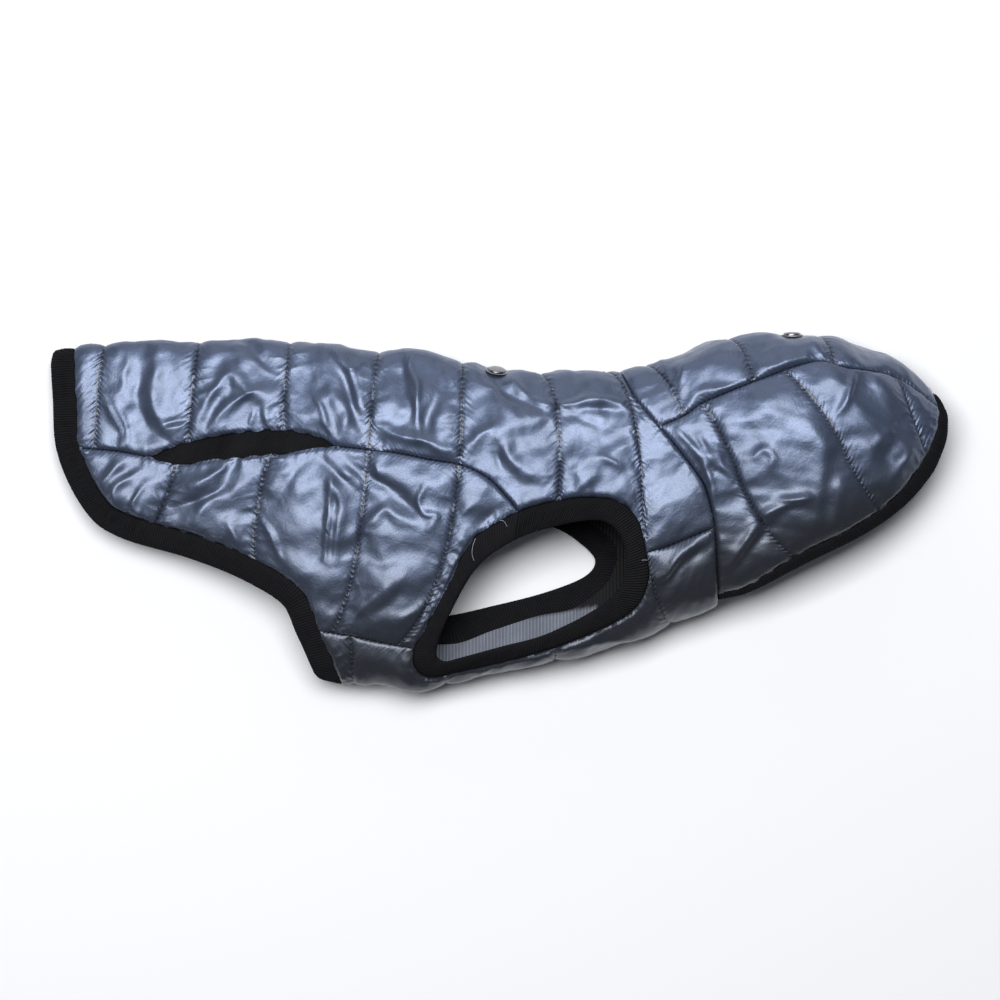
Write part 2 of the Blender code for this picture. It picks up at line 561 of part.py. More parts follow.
def make_coat():
    near, far = make_half(False), make_half(True)
    for name, key in (("back_panel", "back"), ("hood_crown", "crown"), ("belly_panel", "belly")):
        half, other = near[key][0], mirrored(far[key][0])
        if key == "belly":
            whole = np.concatenate([half, other[:, -2::-1]], 1)
        else:
            whole = np.concatenate([half[:, ::-1], other[:, 1:]], 1)
        make_wall(name, whole, padded(whole, near[key][1]), "shell")
    for name, key in (("side_panel", "side"), ("hood_side", "hood")):
        for side, half in (("near", near), ("far", far)):
            grid, lines = half[key]
            grid = mirrored(grid) if side == "far" else grid
            make_wall(f"{name}_{side}", grid, padded(grid, lines), "shell")
    hem = np.concatenate([near["hem"], mirrored(far["hem"])[-2:0:-1]])
    make_binding("hem_binding", hem, np.full(len(hem), HEM_BINDING), True)
    face = np.concatenate([near["face"], mirrored(far["face"])[-2::-1]])
    run = lengths(face) / lengths(face)[-1]
    share = 2 * np.minimum(run, 1 - run)
    make_binding("face_binding", face, np.interp(share, *zip(*FACE_BINDING)), False)
    for side, half, opening, corners in (
        ("near", near, LEG_OPENING, OPENING_CORNERS),
        ("far", far, FAR_LEG_OPENING, FAR_OPENING_CORNERS),
    ):
        make_ring(f"leg_binding_{side}", *half["leg"], opening, corners, side == "far")
        make_insert(f"rib_insert_{side}", *half["insert"], side == "far")
    for name, place in SNAP_PLACES:
        make_snap(name, place, WALL_AT_PUFF - SNAP_PRESS["depth"])


for old in list(bpy.data.objects):
    bpy.data.objects.remove(old, do_unlink=True)
make_coat()
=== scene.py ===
import math

import bmesh
import bpy
import numpy as np
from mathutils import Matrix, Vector


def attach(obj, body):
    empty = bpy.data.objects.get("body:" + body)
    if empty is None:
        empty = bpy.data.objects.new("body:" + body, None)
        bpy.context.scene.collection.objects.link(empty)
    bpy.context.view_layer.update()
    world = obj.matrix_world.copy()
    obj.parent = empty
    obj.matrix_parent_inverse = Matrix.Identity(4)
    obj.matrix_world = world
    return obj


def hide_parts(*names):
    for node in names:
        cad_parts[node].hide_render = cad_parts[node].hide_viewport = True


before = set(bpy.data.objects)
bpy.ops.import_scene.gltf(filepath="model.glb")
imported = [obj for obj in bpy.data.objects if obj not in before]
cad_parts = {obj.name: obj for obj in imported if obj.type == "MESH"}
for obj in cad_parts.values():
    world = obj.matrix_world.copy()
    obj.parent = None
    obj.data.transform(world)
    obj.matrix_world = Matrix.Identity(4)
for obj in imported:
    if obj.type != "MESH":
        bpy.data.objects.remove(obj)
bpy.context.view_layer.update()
mm = 0.001

# All sizes below are in mm.
# The cloth is one flattened tube along X. A place on it is (x, turn): turn is 0 on the spine fold, 180 on
# the belly fold, above 0 on the upper side and below 0 on the lower side.
form = {
    "underFace": 3.5,  # height of the lower side's lining
    "topPower": 2.3,  # roundness of the upper half
    "underPower": 4.0,
    "foldShare": 0.36,  # height of the folds, as a share of the section's
}
# Each row: x, y of the spine fold, y of the belly fold, height of the upper side's lining
sections = np.array([
    (-232, 78.6, 4.0, 9.0), (-219, 78.8, -8.0, 10.0), (-207, 79.6, -20.0, 12.0), (-193, 80.0, -30.0, 14.0),
    (-166, 80.8, -38.0, 18.0), (-137, 81.5, -50.0, 22.0), (-109, 81.0, -67.0, 26.0),
    (-99, 80.7, -75.0, 28.0),
    (-91, 79.4, -81.5, 29.0), (-80, 78.0, -84.5, 31.0), (-62, 76.2, -83.8, 33.0), (-38, 74.7, -86.2, 36.0),
    (-20, 71.2, -82.5, 38.0), (0, 67.3, -77.0, 39.0), (21, 65.0, -73.6, 40.0), (51, 66.0, -65.7, 41.0),
    (74, 69.0, -58.0, 41.0), (92, 74.6, -51.5, 41.0), (109, 81.2, -45.0, 42.0), (122, 83.3, -43.5, 43.0),
    (141, 84.2, -38.0, 45.0), (166, 83.0, -26.5, 45.0), (186, 76.0, -16.0, 41.0), (204, 66.5, -3.5, 34.0),
    (217, 56.5, 10.0, 27.0), (229, 47.5, 25.0, 19.0), (243, 39.0, 35.0, 10.0),
], float)
# Seams and edges as they lie in plan, each a smooth line through (x, y)
hemLine = [
    (-212.5, 80), (-211, 57), (-209, 31), (-198, 8), (-185, -2), (-151, -12), (-122, -23.5),
    (-98, -39), (-88, -60), (-76.5, -88),
]
hemMarks = {"side": 2, "corner": 4, "belly": 8, "fold": 9}
sideRear = [(-209, 31), (-190, 29.5), (-175, 26.5)]
insertUpper = [(-175, 26.5), (-158.5, 33), (-134.5, 38), (-109, 40), (-91, 37), (-79.5, 31.5)]
insertLower = [(-175, 26.5), (-160.5, 22.7), (-138, 25), (-112, 27.3), (-95.5, 29.5), (-79.5, 31.5)]
neckLine = [
    (60.5, 69), (63.5, 63), (69.5, 52.5), (80, 41), (98.5, 18), (103.5, 8), (107, -8),
    (108.5, -28), (109.3, -40), (109.5, -50),
]
neckMarks = {"crown": 3, "chest": 6, "face": 8, "fold": 9}
crownLine = [
    (80, 41), (92.5, 46.5), (103.5, 53.5), (131, 64.5), (156.5, 72.5), (172.5, 69.5), (191, 66.5),
    (203, 61.5), (217.8, 50.5),
]
faceLine = [
    (109.3, -40), (124.5, -35.5), (146.5, -21.5), (178.5, -5), (199, 11), (214.5, 33.5),
    (218.2, 46), (217.8, 50.5), (216.8, 54.5), (215.5, 58.4),
]
faceMarks = {"tip": 5.3, "crown": 7, "fold": 9}
nearSide = {
    "sideFront": [(-79.5, 31.5), (-52, 28.5), (-34, 25), (-17.5, 22), (-4.5, 15.5), (4.5, 6.5), (10, -0.5)],
    "legTop": [(10, -0.5), (22.5, 3.5), (41, 6.5), (56, 5.5), (65, 1), (70, -6.5), (73.5, -21)],
    "legRear": [(10, -0.5), (2, -4.5), (-13.5, -15.5), (-27.5, -42), (-42, -68.5)],
    "legLow": [
        (-42, -68.5), (-41.5, -77.5), (-34.5, -82.6), (-18.5, -79.4), (21.5, -69.6), (51, -58.5),
        (68, -48), (74.5, -34), (73.5, -21),
    ],
    "bellySeam": [(-88, -60), (-71.5, -62.5), (-42, -68.5)],
    "chestSeam": [(73.5, -21), (87.5, -16), (107, -8)],
    "opening": [
        (8, -15), (26.5, -8.5), (49.5, -5), (60, -12), (63, -25), (60, -38), (48, -49), (23.5, -61.5),
        (2, -67.5), (-18, -73), (-27, -75), (-30.5, -69.5), (-24.5, -53), (-10.5, -28.5),
    ],
    "openingCorners": (4, 11),
}
farSide = {
    "sideFront": [(-79.5, 31.5), (-52, 28), (-30, 22), (-13, 14), (-4, 7)],
    "legTop": [(-4, 7), (12, 7.5), (32, 1.5), (47, -7), (58, -16), (60.5, -25)],
    "legRear": [(-4, 7), (-18, 3), (-38, -11), (-53, -32), (-51, -58)],
    "legLow": [
        (-51, -58), (-44, -66), (-22, -67.5), (-2, -60.5), (20, -53.5), (38, -49.5), (54, -38), (60.5, -25),
    ],
    "bellySeam": [(-88, -60), (-70, -61), (-51, -58)],
    "chestSeam": [(60.5, -25), (84, -17), (107, -8)],
    "opening": [
        (-8, -5), (8, -3.5), (28.5, -9), (41, -16.5), (49, -25.5), (43, -34), (22.5, -42), (-3, -48.5),
        (-23, -53), (-38, -54.5), (-45, -46), (-42, -32), (-27, -16),
    ],
    "openingCorners": (4, 9),
}
# Quilting lines: x at the upper edge, x at the lower edge, and how far the middle bows out
backLines = [
    (-197.5, -202, 0), (-149.5, -154.5, 0.5), (-104, -106.5, 0), (-59.5, -64, 0.5), (-18.5, -18.7, 1),
    (20.5, 30, 4), (54, 72.5, 4.5),
]
lastBackLine = 5.4  # where it meets the leg hole's top, counted in that line's points
# These bow out by the third number on the upper side and by the fourth on the lower side
sideLines = [(-160.5, -171, 0, 0), (-112.5, -121, -3, -3), (-64, -82, 3, -2), (-18.7, -50, 6, -17)]
farSideEnds = (0.11, 1.75)  # where the last two of them meet the lower side's belly seam
hoodLines = [(101.5, 146, -2), (141.5, 187.5, 4), (197.5, 211.5, -1)]
crownLines = [(74, 92.5, 0), (115, 126.5, 1), (159, 166, 1)]
bellyLines = [(-73, -72.5), (-26, -27), (28.5, 28), (None, 86)]
foldUnderLeg = -54.0  # x on the belly fold below the leg hole's rear corner
grid = {
    "cell": 1.2,  # step along the seams
    "row": 0.85,  # step across the upper side
    "farRow": 2.1,  # and across the lower side
    "lineSamples": 300,
    "cellsToLine": 5,  # cells from the hem's belly corner to the third side line
}
farAway = 99.0  # beyond anything on the coat


def smoothLine(at, stations, values):
    slope = np.gradient(values, stations)
    i = np.clip(np.searchsorted(stations, at) - 1, 0, len(stations) - 2)
    step = stations[i + 1] - stations[i]
    t = (at - stations[i]) / step
    start = (2 * t**3 - 3 * t**2 + 1) * values[i] + (t**3 - 2 * t**2 + t) * step * slope[i]
    return start + (3 * t**2 - 2 * t**3) * values[i + 1] + (t**3 - t**2) * step * slope[i + 1]


def sectionAt(x):
    spine, belly, height = (smoothLine(x, sections[:, 0], column) for column in sections[:, 1:].T)
    fold = form["underFace"] + form["foldShare"] * (height - form["underFace"])
    return (spine + belly) / 2, (spine - belly) / 2, fold, height - fold, fold - form["underFace"]


def onForm(place):
    x, turn = place[..., 0], (place[..., 1] + 180) % 360 - 180
    middle, half, fold, rise, drop = sectionAt(x)
    cosine = np.cos(np.radians(turn))
    across = np.sign(cosine) * np.abs(cosine) ** (2 / form["topPower"])
    share = np.abs(across).clip(0, 1)
    upper = rise * (1 - share**form["topPower"]) ** (1 / form["topPower"])
    lower = -drop * (1 - share**form["underPower"]) ** (1 / form["underPower"])
    return np.stack([x, middle + half * across, fold + np.where(turn >= 0, upper, lower)], -1)


def slopesAt(place):
    along, around = np.array((0.5, 0.0)), np.array((0.0, 0.5))
    return onForm(place + along) - onForm(place - along), onForm(place + around) - onForm(place - around)


def unit(vectors):
    return vectors / np.maximum(np.linalg.norm(vectors, axis=-1, keepdims=True), 1e-9)


def outward(place):
    along, around = slopesAt(place)
    return unit(np.cross(around, along))


def turnOf(x, y):
    middle, half = sectionAt(x)[:2]
    across = ((y - middle) / half).clip(-1, 1)
    return np.degrees(np.arccos(np.sign(across) * np.abs(across) ** (form["topPower"] / 2)))


def runOf(points):
    return np.concatenate([[0.0], np.cumsum(np.linalg.norm(np.diff(points, axis=0), axis=-1))])


def lengthsOf(place):
    return runOf(onForm(place))


def readAt(at, stations, line):
    # A line's values at these stations along it.
    return np.stack([np.interp(at, stations, column) for column in line.T], -1)


def readLine(line, start, end, closed=False):
    points = np.array(line, float)
    if closed:
        points = np.concatenate([points[-1:], points, points[:2]])
        start, end = start + 1, end + 1
    knots = np.arange(len(points), dtype=float)
    t = np.linspace(start, end, grid["lineSamples"])
    x, y = (smoothLine(t, knots, points[:, i]) for i in (0, 1))
    return np.stack([x, turnOf(x, y)], -1)


def numberAt(line, x):
    points = np.array(line, float)
    t = np.linspace(0, len(line) - 1, 10 * grid["lineSamples"])
    beyond = smoothLine(t, np.arange(len(line), dtype=float), points[:, 0]) >= x
    return t[np.argmax(beyond)]


def stretch(line, start, end, count=None, cell=None, closed=False):
    dense = readLine(line, start, end, closed)
    run = lengthsOf(dense)
    count = count or max(1, round(run[-1] / (cell or grid["cell"])))
    return readAt(np.linspace(0, run[-1], count + 1), run, dense)


def chain(*parts):
    joined, marks = parts[0], [0, len(parts[0]) - 1]
    for part in parts[1:]:
        joined = np.concatenate([joined, part[1:]])
        marks.append(len(joined) - 1)
    return joined, marks


def between(marks, values):
    return np.interp(np.arange(marks[-1] + 1), marks, values)


def patch(upper, lower, left, right, lines, bows):
    columns, rows = len(upper), len(left)
    r = np.linspace(0, 1, rows)[None, :, None]
    places = upper[:, None] * (1 - r) + lower[:, None] * r
    places[..., :1] += 4 * r * (1 - r) * between(lines, bows)[:, None, None]
    number = np.arange(columns)[:, None, None]
    nearLeft = (1 - number / lines[1]).clip(0, 1)
    nearRight = (1 - (columns - 1 - number) / (lines[-1] - lines[-2])).clip(0, 1)
    return places + nearLeft * (left - places[0]) + nearRight * (right - places[-1])


def mirrored(places):
    return places * np.array((1, -1))


def cutUp(line, ends, counts=None, closed=False):
    # The line between each of these ends and the next, in even steps.
    counts = [None] * (len(ends) - 1) if counts is None else counts
    return [stretch(line, a, b, n, closed=closed) for a, b, n in zip(ends, ends[1:], counts)]


def endsAt(line, stations):
    # Both ends of a line, and between them where it reaches each of these x.
    return [0, *(numberAt(line, x) for x in stations), len(line) - 1]


def stepsOf(line, ends):
    return [len(part) - 1 for part in cutUp(line, ends)]


def likeNear(line, nearLine, nearEnds):
    # A line of either side, cut into as many steps as the upper side's and at the same places.
    scale = (len(line) - 1) / (len(nearLine) - 1)
    return cutUp(line, [end * scale for end in nearEnds], stepsOf(nearLine, nearEnds))


def whole(parts):
    return chain(*parts)[0]


def sideSeam(sideFront):
    # The side seam from the hem to the leg hole: behind the insert, over it, under it, and in front.
    hemX, q2, q3, q4, q5 = (line[1] for line in backLines[:5])
    nearFront = nearSide["sideFront"]
    upperEnds = endsAt(insertUpper, [q2, q3])
    lowerEnds = endsAt(insertLower, [line[0] for line in sideLines[:2]])
    rear = cutUp(sideRear, endsAt(sideRear, [hemX]))
    over = cutUp(insertUpper, upperEnds)
    under = cutUp(insertLower, lowerEnds, stepsOf(insertUpper, upperEnds))
    front = cutUp(sideFront, endsAt(sideFront, [q4, q5]), stepsOf(nearFront, endsAt(nearFront, [q4, q5])))
    return rear, over, under, front


def backGrid(rear, over, front, top, chest, right):
    # From the spine down to the side seam, the leg hole and the chest seam.
    seam, marks = chain(*rear, *over, *front, *top, chest)
    lines = [0, marks[1], marks[3], marks[4], marks[6], marks[7], marks[9], marks[10], marks[-1]]
    left = stretch(hemLine, 0, hemMarks["side"], len(right) - 1)
    spineX = [left[0, 0], *(line[0] for line in backLines), right[0, 0]]
    spine = np.stack([between(lines, spineX), np.zeros(len(seam))], -1)
    places = patch(spine, seam, left, right, lines, [0, *(line[2] for line in backLines), 0])
    sewn = [
        ("seam", whole(rear)), ("band", whole(over)), ("seam", whole(front)), ("band", whole(top)),
        ("seam", chest), ("band", left), ("seam", right),
    ]
    return (places, lines, sewn), left


def sideGrid(far, row, rear, under, front, legRear, bellySeam):
    # From the side seam down to the hem and the belly seam, and forward to the leg hole.
    upper, marks = chain(*rear, *under, *front)
    lines = [0, marks[3], marks[4], marks[6], marks[7], marks[8]]
    toS1, toS2 = (numberAt(hemLine, line[1]) for line in sideLines[:2])
    toS3, toS4 = farSideEnds if far else (numberAt(bellySeam, line[1]) for line in sideLines[2:])
    counts, near = np.diff(lines), grid["cellsToLine"]
    hemEnds = [hemMarks["corner"], toS1, toS2, hemMarks["belly"]]
    hem = cutUp(hemLine, hemEnds, [counts[0], counts[1], counts[2] - near])
    belly = cutUp(bellySeam, [0, toS3, toS4, 2], [near, counts[3], counts[4]])
    lower, marks = chain(*hem, *belly)
    nearRear = nearSide["legRear"]
    right = stretch(legRear, 0, len(legRear) - 1, len(stretch(nearRear, 0, len(nearRear) - 1, cell=row)) - 1)
    left = stretch(hemLine, hemMarks["side"], hemMarks["corner"], len(right) - 1)
    places = patch(upper, lower, left, right, lines, [0, *(line[3 if far else 2] for line in sideLines), 0])
    hemLow, bellyRear = lower[: marks[3] + 1], lower[marks[3] :]
    sewn = [
        ("seam", whole(rear)), ("band", whole(under)), ("seam", whole(front)), ("band", hemLow),
        ("seam", bellyRear), ("band", left), ("band", right),
    ]
    return (places, lines, sewn), left, right, hemLow, bellyRear


def bellyGrid(bellyRear, low, chest, neckLow, column):
    # From the belly seam, the leg hole's lower edge and the chest seam down to the belly fold.
    edge, marks = chain(bellyRear, *low, chest)
    column = column or int(np.argmin(np.abs(bellyRear[:, 0] - bellyLines[0][0])))
    left = stretch(hemLine, hemMarks["belly"], hemMarks["fold"], len(neckLow) - 1)
    lines = [0, column, *marks[2:6]]
    lineX = [line[1] for line in bellyLines]
    foldX = [left[-1, 0], lineX[0], foldUnderLeg, *lineX[1:], neckLow[-1, 0]]
    fold = np.stack([between([0, column, *marks[1:6]], foldX), np.full(len(edge), 180.0)], -1)
    places = patch(edge, fold, left, neckLow, lines, [0] * len(lines))
    sewn = [
        ("seam", bellyRear), ("band", whole(low)), ("seam", chest), ("band", left), ("seam", neckLow),
    ]
    return (places, lines, sewn), left


def hoodGrids(neckCrown, neckSide, neckChest):
    # A side from the crown seam down to the face edge, and half of the crown above it.
    breaks = sorted([line[0] for line in hoodLines] + [line[1] for line in crownLines])
    seam, marks = chain(*cutUp(crownLine, endsAt(crownLine, breaks)))
    hoodMarks = [0, *(marks[1 + breaks.index(line[0])] for line in hoodLines), marks[-1]]
    crownMarks = [0, *(marks[1 + breaks.index(line[1])] for line in crownLines), marks[-1]]
    faceEnds = [0, *(numberAt(faceLine, line[1]) for line in hoodLines), faceMarks["tip"]]
    faceLow = whole(cutUp(faceLine, faceEnds, np.diff(hoodMarks)))
    left = whole([neckSide, neckChest])
    right = stretch(faceLine, faceMarks["crown"], faceMarks["tip"], len(left) - 1)
    hood = patch(seam, faceLow, left, right, hoodMarks, [0, *(line[2] for line in hoodLines), 0])
    crownRight = stretch(faceLine, faceMarks["fold"], faceMarks["crown"], len(neckCrown) - 1)
    topX = [neckCrown[0, 0], *(line[0] for line in crownLines), crownRight[0, 0]]
    top = np.stack([between(crownMarks, topX), np.zeros(len(seam))], -1)
    crown = patch(top, seam, neckCrown, crownRight, crownMarks, [0, *(line[2] for line in crownLines), 0])
    hoodSewn = [("seam", seam), ("band", faceLow), ("seam", left), ("band", right)]
    crownSewn = [("seam", seam), ("seam", neckCrown), ("band", crownRight)]
    face = whole([faceLow, right[::-1], crownRight[::-1]])
    return (hood, hoodMarks, hoodSewn), (crown, crownMarks, crownSewn), face


def halfGrids(far, bellyColumn=None):
    # One side of the coat: each panel's grid of places, the columns that are quilted, and its sewn edges.
    drawn, row = (farSide, grid["farRow"]) if far else (nearSide, grid["row"])
    nearTop, nearLow = nearSide["legTop"], nearSide["legLow"]
    rear, over, under, front = sideSeam(drawn["sideFront"])
    topEnds = [0, numberAt(nearTop, backLines[5][1]), lastBackLine, len(nearTop) - 1]
    top = likeNear(drawn["legTop"], nearTop, topEnds)
    low = likeNear(drawn["legLow"], nearLow, endsAt(nearLow, [line[0] for line in bellyLines[1:3]]))
    chest = likeNear(drawn["chestSeam"], nearSide["chestSeam"], [0, 2])[0]
    neckEnds = [0, *neckMarks.values()]
    neck = [stretch(neckLine, a, b, cell=row) for a, b in zip(neckEnds, neckEnds[1:])]
    back, hemTop = backGrid(rear, over, front, top, chest, whole(neck[:2]))
    side, hemSide, legRear, hemLow, bellyRear = sideGrid(
        far, row, rear, under, front, drawn["legRear"], drawn["bellySeam"]
    )
    belly, hemFold = bellyGrid(bellyRear, low, chest, whole(neck[2:]), bellyColumn)
    hood, crown, face = hoodGrids(*neck[:3])
    return {
        "back": back,
        "side": side,
        "belly": belly,
        "hood": hood,
        "crown": crown,
        "leg": chain(whole(top), whole(low)[::-1], legRear[::-1]),
        "hem": whole([hemTop, hemSide, hemLow, hemFold]),
        "face": face,
        "insert": (whole(over), whole(under)),
    }


# How the cloth is sewn. Each kind of line holds the wall low, and gathers the cloth beside it.
sewing = {
    "quilt": {"low": 2.3, "near": 1.1, "step": 0.35, "wide": 7.0, "pucker": 0.2, "pitch": 3.7, "reach": 3.6,
              "slant": 0.9, "gather": 0.35, "gatherPitch": 9, "gatherReach": 7, "calm": 0},
    "seam": {"low": 2.0, "near": 0.8, "step": 0.5, "wide": 6.5, "pucker": 0.12, "pitch": 4.2, "reach": 3.0,
             "slant": 0.3, "gather": 0.35, "gatherPitch": 11, "gatherReach": 7, "calm": 0.7},
    "band": {"low": 2.3, "near": 0.7, "step": 0.55, "wide": 6.0, "pucker": 0.24, "pitch": 5.0, "reach": 3.6,
             "slant": 0.15, "gather": 0.5, "gatherPitch": 8, "gatherReach": 6, "calm": 1.3},
}
# The same for every line. Each length is how far apart the changes in that unevenness lie.
gathering = {
    "nearPower": 1.3,  # how steeply the cloth rises close to the line
    "widePower": 1.5,  # and further out
    "slip": 0.35,  # how unevenly the narrow folds are spaced, as a share of their pitch
    "slipLength": 17,
    "loud": (0.75, 0.45),  # their usual height, and how much it varies
    "loudLength": 11,
    "rootHeight": 0.25,  # their height at the stitches
    "root": 1.2,  # how far from the stitches they are full
    "foldPower": 1.5,
    "sway": 0.5,  # how much the wide ridges lean
    "swayLength": 40,
    "wideSlip": 0.4,
    "wideSlipLength": 30,
    "ridge": 1.6,  # how sharp they are
    "ridgeMean": 0.25,  # their mean height, taken off so that the cloth keeps its level
    "wideLoud": (0.6, 0.6),
    "wideLoudLength": 23,
    "wideRoot": 2.5,
    "wideFoldPower": 1.8,
}
padding = {
    "full": 4.5,  # height of a puff
    "wave": 0.65,  # height of the soft unevenness all over
    "waveLength": 30,
    "ripple": 0.11,
    "rippleLength": 8,
    "lowest": 0.55,  # least height of the outer skin
    "liningSink": 0.3,  # how far the lining lies under the form
    "liningWave": 0.25,
    "liningWaveLength": 24,
    "seamGap": 0.16,  # between two panels at a seam
    "floorGap": 0.02,
    "fill": 0.5,
    "overhang": 0.75,  # how far the puffs swell over the bands
    "swell": (0.55, 0.45),  # the least of that, and how much it varies
    "swellLength": 7,
    "bandReach": 0.4,
    "facing": [(14, -54.5), (50, -48.6)],  # black knit faces the lining beyond this line
    "facingBlend": 1.5,
    "foldBlend": 0.3,  # how softly the creases of one side give way to the other's at a fold
    "belowShadeFrom": -0.1,  # how far the cloth turns towards the belly before the painted shade and painted brown floor reflection start
    "belowShadeOver": 0.4,
}
# Creases, listed one by one: height of a ridge (below 0 for a trough), half its width, and its points (x, y)
backCreases = [
    (2.0, 6, [(8, 2), (23.5, 6.5), (41, 8.5), (57, 8)]),
    (1.0, 1.5, [(-197.5, 55.5), (-192.5, 47), (-188, 39), (-188, 29)]),
    (1.2, 1.8, [(-191, 53), (-186, 43), (-184.5, 29)]),
    (0.8, 2, [(-188, 59), (-185, 77)]),
    (-1.8, 5, [(-178, 69.5), (-180, 56), (-174, 41), (-163.5, 33)]),
    (1.6, 4, [(-170, 78), (-172, 54), (-166, 41)]),
    (-1.2, 2.5, [(-166, 43), (-155.5, 45)]),
    (1.0, 2, [(-164, 41), (-154.5, 42)]),
    (1.8, 4, [(-147.5, 49), (-141, 59.5), (-133, 66.5), (-126, 59.5), (-121, 56.5)]),
    (1.5, 2.5, [(-141, 39), (-139, 46), (-131, 53), (-119, 59.5)]),
    (-1.5, 3.5, [(-137, 81), (-125, 80), (-113.5, 68.5), (-106.5, 63.5)]),
    (0.9, 1.8, [(-122, 74.5), (-115, 68.5), (-107.5, 65.5)]),
    (1.0, 1.6, [(-121, 49), (-123, 42)]),
    (1.0, 1.6, [(-116, 49), (-113.7, 41)]),
    (1.0, 1.6, [(-109.5, 49), (-107.5, 41)]),
    (1.2, 2, [(-80.5, 74.5), (-73.5, 68), (-68.5, 70.5)]),
    (-2.0, 4, [(-83.7, 73.7), (-75.5, 62.5), (-71.5, 49), (-63.5, 35)]),
    (1.2, 2, [(-92, 57.5), (-86.7, 49), (-84.7, 42), (-80.5, 35)]),
    (1.6, 4, [(-82.7, 58.5), (-75.5, 49), (-75.5, 37)]),
    (1.4, 3, [(-73.5, 67.5), (-67.5, 51), (-64.5, 47)]),
    (1.6, 2.2, [(-44, 73.7), (-43.5, 67.5), (-40, 60.5), (-40, 49), (-38, 35)]),
    (-1.8, 4, [(-48, 69.5), (-46, 56.5), (-42, 49)]),
    (-1.5, 3.5, [(-28.5, 56.5), (-33.7, 47), (-35.7, 37)]),
    (2.0, 3, [(-55, 39), (-46, 36), (-33.7, 33), (-27.5, 29), (-19.5, 27.7)]),
    (-1.2, 2, [(-60, 35), (-54, 30)]),
    (0.8, 2.5, [(-27.5, 69.5), (-21.5, 60.5)]),
    (-2.2, 3.5, [(-7, 69.5), (2, 58.5), (14.3, 52.2), (25.5, 47.7)]),
    (1.8, 3, [(3, 65.5), (15.3, 54.5), (26.5, 49.2)]),
    (1.6, 4, [(-15.5, 29), (-9.2, 36), (-2, 40)]),
    (1.6, 4, [(3, 33), (7, 24.7), (14.3, 18.5), (21.5, 14.5)]),
    (-1.2, 3, [(-1, 29), (2, 18.5)]),
    (2.0, 3, [(21.5, 51.2), (36.7, 50.7), (48, 52.2), (61, 51.2)]),
    (-1.4, 3, [(29.5, 47.7), (42.8, 49.2), (61, 48.2)]),
    (-1.0, 3, [(32.5, 48.2), (43.8, 43), (52, 40)]),
    (1.4, 4, [(38.7, 18.5), (43.8, 10.5)]),
    (1.0, 2, [(51, 25.7), (61, 20.5)]),
]
sideCreases = [
    (2.8, 10, [(-201, 20), (-194, 9), (-184, 1), (-170, -4), (-153, -10)]),
    (1.3, 2, [(-198.5, 12.5), (-188, 23.7)]),
    (1.3, 2.5, [(-191, 2.2), (-190, 11.5), (-178, 19.5)]),
    (1.3, 2, [(-179, -2.8), (-181.5, 3.2), (-176, 12.5)]),
    (-2.0, 4, [(-165.7, 0.2), (-147.5, 5.5), (-137, 11.5), (-131, 23.7)]),
    (1.6, 3, [(-151.5, 11.5), (-140, 18.5), (-134, 22.7)]),
    (1.4, 4, [(-151.5, -8), (-144.5, 3.2), (-137, 6.5)]),
    (1.5, 2.5, [(-134, -5), (-127, -20)]),
    (-1.5, 4, [(-97.5, 22.7), (-105.5, 10.5), (-109.5, 5.5)]),
    (1.6, 1.5, [(-82, 14.5), (-83, -1.8), (-85, -24.3)]),
    (1.6, 2.5, [(-82, 14.5), (-77, 2.2), (-79, -12), (-80, -24.3)]),
    (1.2, 1.5, [(-119, -2.8), (-112.7, -11), (-107.5, -23.3)]),
    (-1.6, 3, [(-87.8, 25.7), (-78.5, 16.5), (-68.5, 8.5)]),
    (-2.2, 3.5, [(-77.5, 26.7), (-67.5, 18.5), (-53, 10.5), (-42, 0.2)]),
    (1.2, 2, [(-60.2, 24.7), (-58.2, 14.5)]),
    (1.4, 1.6, [(-35.7, 11.5), (-38.8, 4.3), (-35.7, -1.8), (-29.6, -2.8), (-33.7, -9)]),
    (1.8, 3.5, [(-69.5, -12), (-63.5, -6), (-56, 0.2), (-51, -1.8), (-42, -7)]),
    (2.2, 5, [(-76.7, -62.7), (-68.3, -48.5), (-55.6, -39), (-47.2, -33.2)]),
    (1.4, 3, [(-50, -54.3), (-34.5, -47.3)]),
    (1.4, 3, [(-18.5, -1.8), (-10.2, 3.2)]),
    (-1.4, 3, [(-9.2, -8), (-1, 0.2)]),
]
hoodCreases = [
    (1.5, 7, [(99, 18), (112, 16), (124, 9)]),
    (2.0, 2, [(88.8, 38.8), (99.2, 27.3), (104.9, 14.7), (106, 6.7)]),
    (1.6, 2, [(99.2, 36.5), (107.2, 21.6)]),
    (1.5, 3, [(107.2, 30.8), (111.8, 20.5), (119.8, 14.7)]),
    (-1.4, 2.5, [(108.4, 19.3), (116.4, 14.7)]),
    (2.2, 3, [(111.8, -30), (129, -5.9), (137, 1), (151.9, 6.7)]),
    (-1.6, 4, [(115.2, -28.9), (131.3, -11.7), (138.2, -2.5)]),
    (1.4, 1.6, [(139.3, 5.6), (153, 6.7)]),
    (1.2, 1.8, [(126.7, 26.2), (131.3, 29.7), (135.9, 26.2), (134.7, 21.6)]),
    (1.4, 8, [(122, 43.5), (138, 49.2), (152, 35.5)]),
    (1.2, 4, [(160, 31), (158.8, 14.7), (156.5, -2.5)]),
    (1.0, 3, [(168, 14.7), (164.5, -8.2)]),
    (1.6, 1.8, [(176, 67.5), (173.7, 60.6), (170.3, 51.5), (166.9, 46.9)]),
    (1.4, 3, [(194.4, 40), (184, 30.8)]),
    (-1.4, 5, [(200, 46.9), (193.2, 35.4), (187.5, 21.6)]),
    (1.5, 4, [(203.5, 30.8), (192, 14.7)]),
]
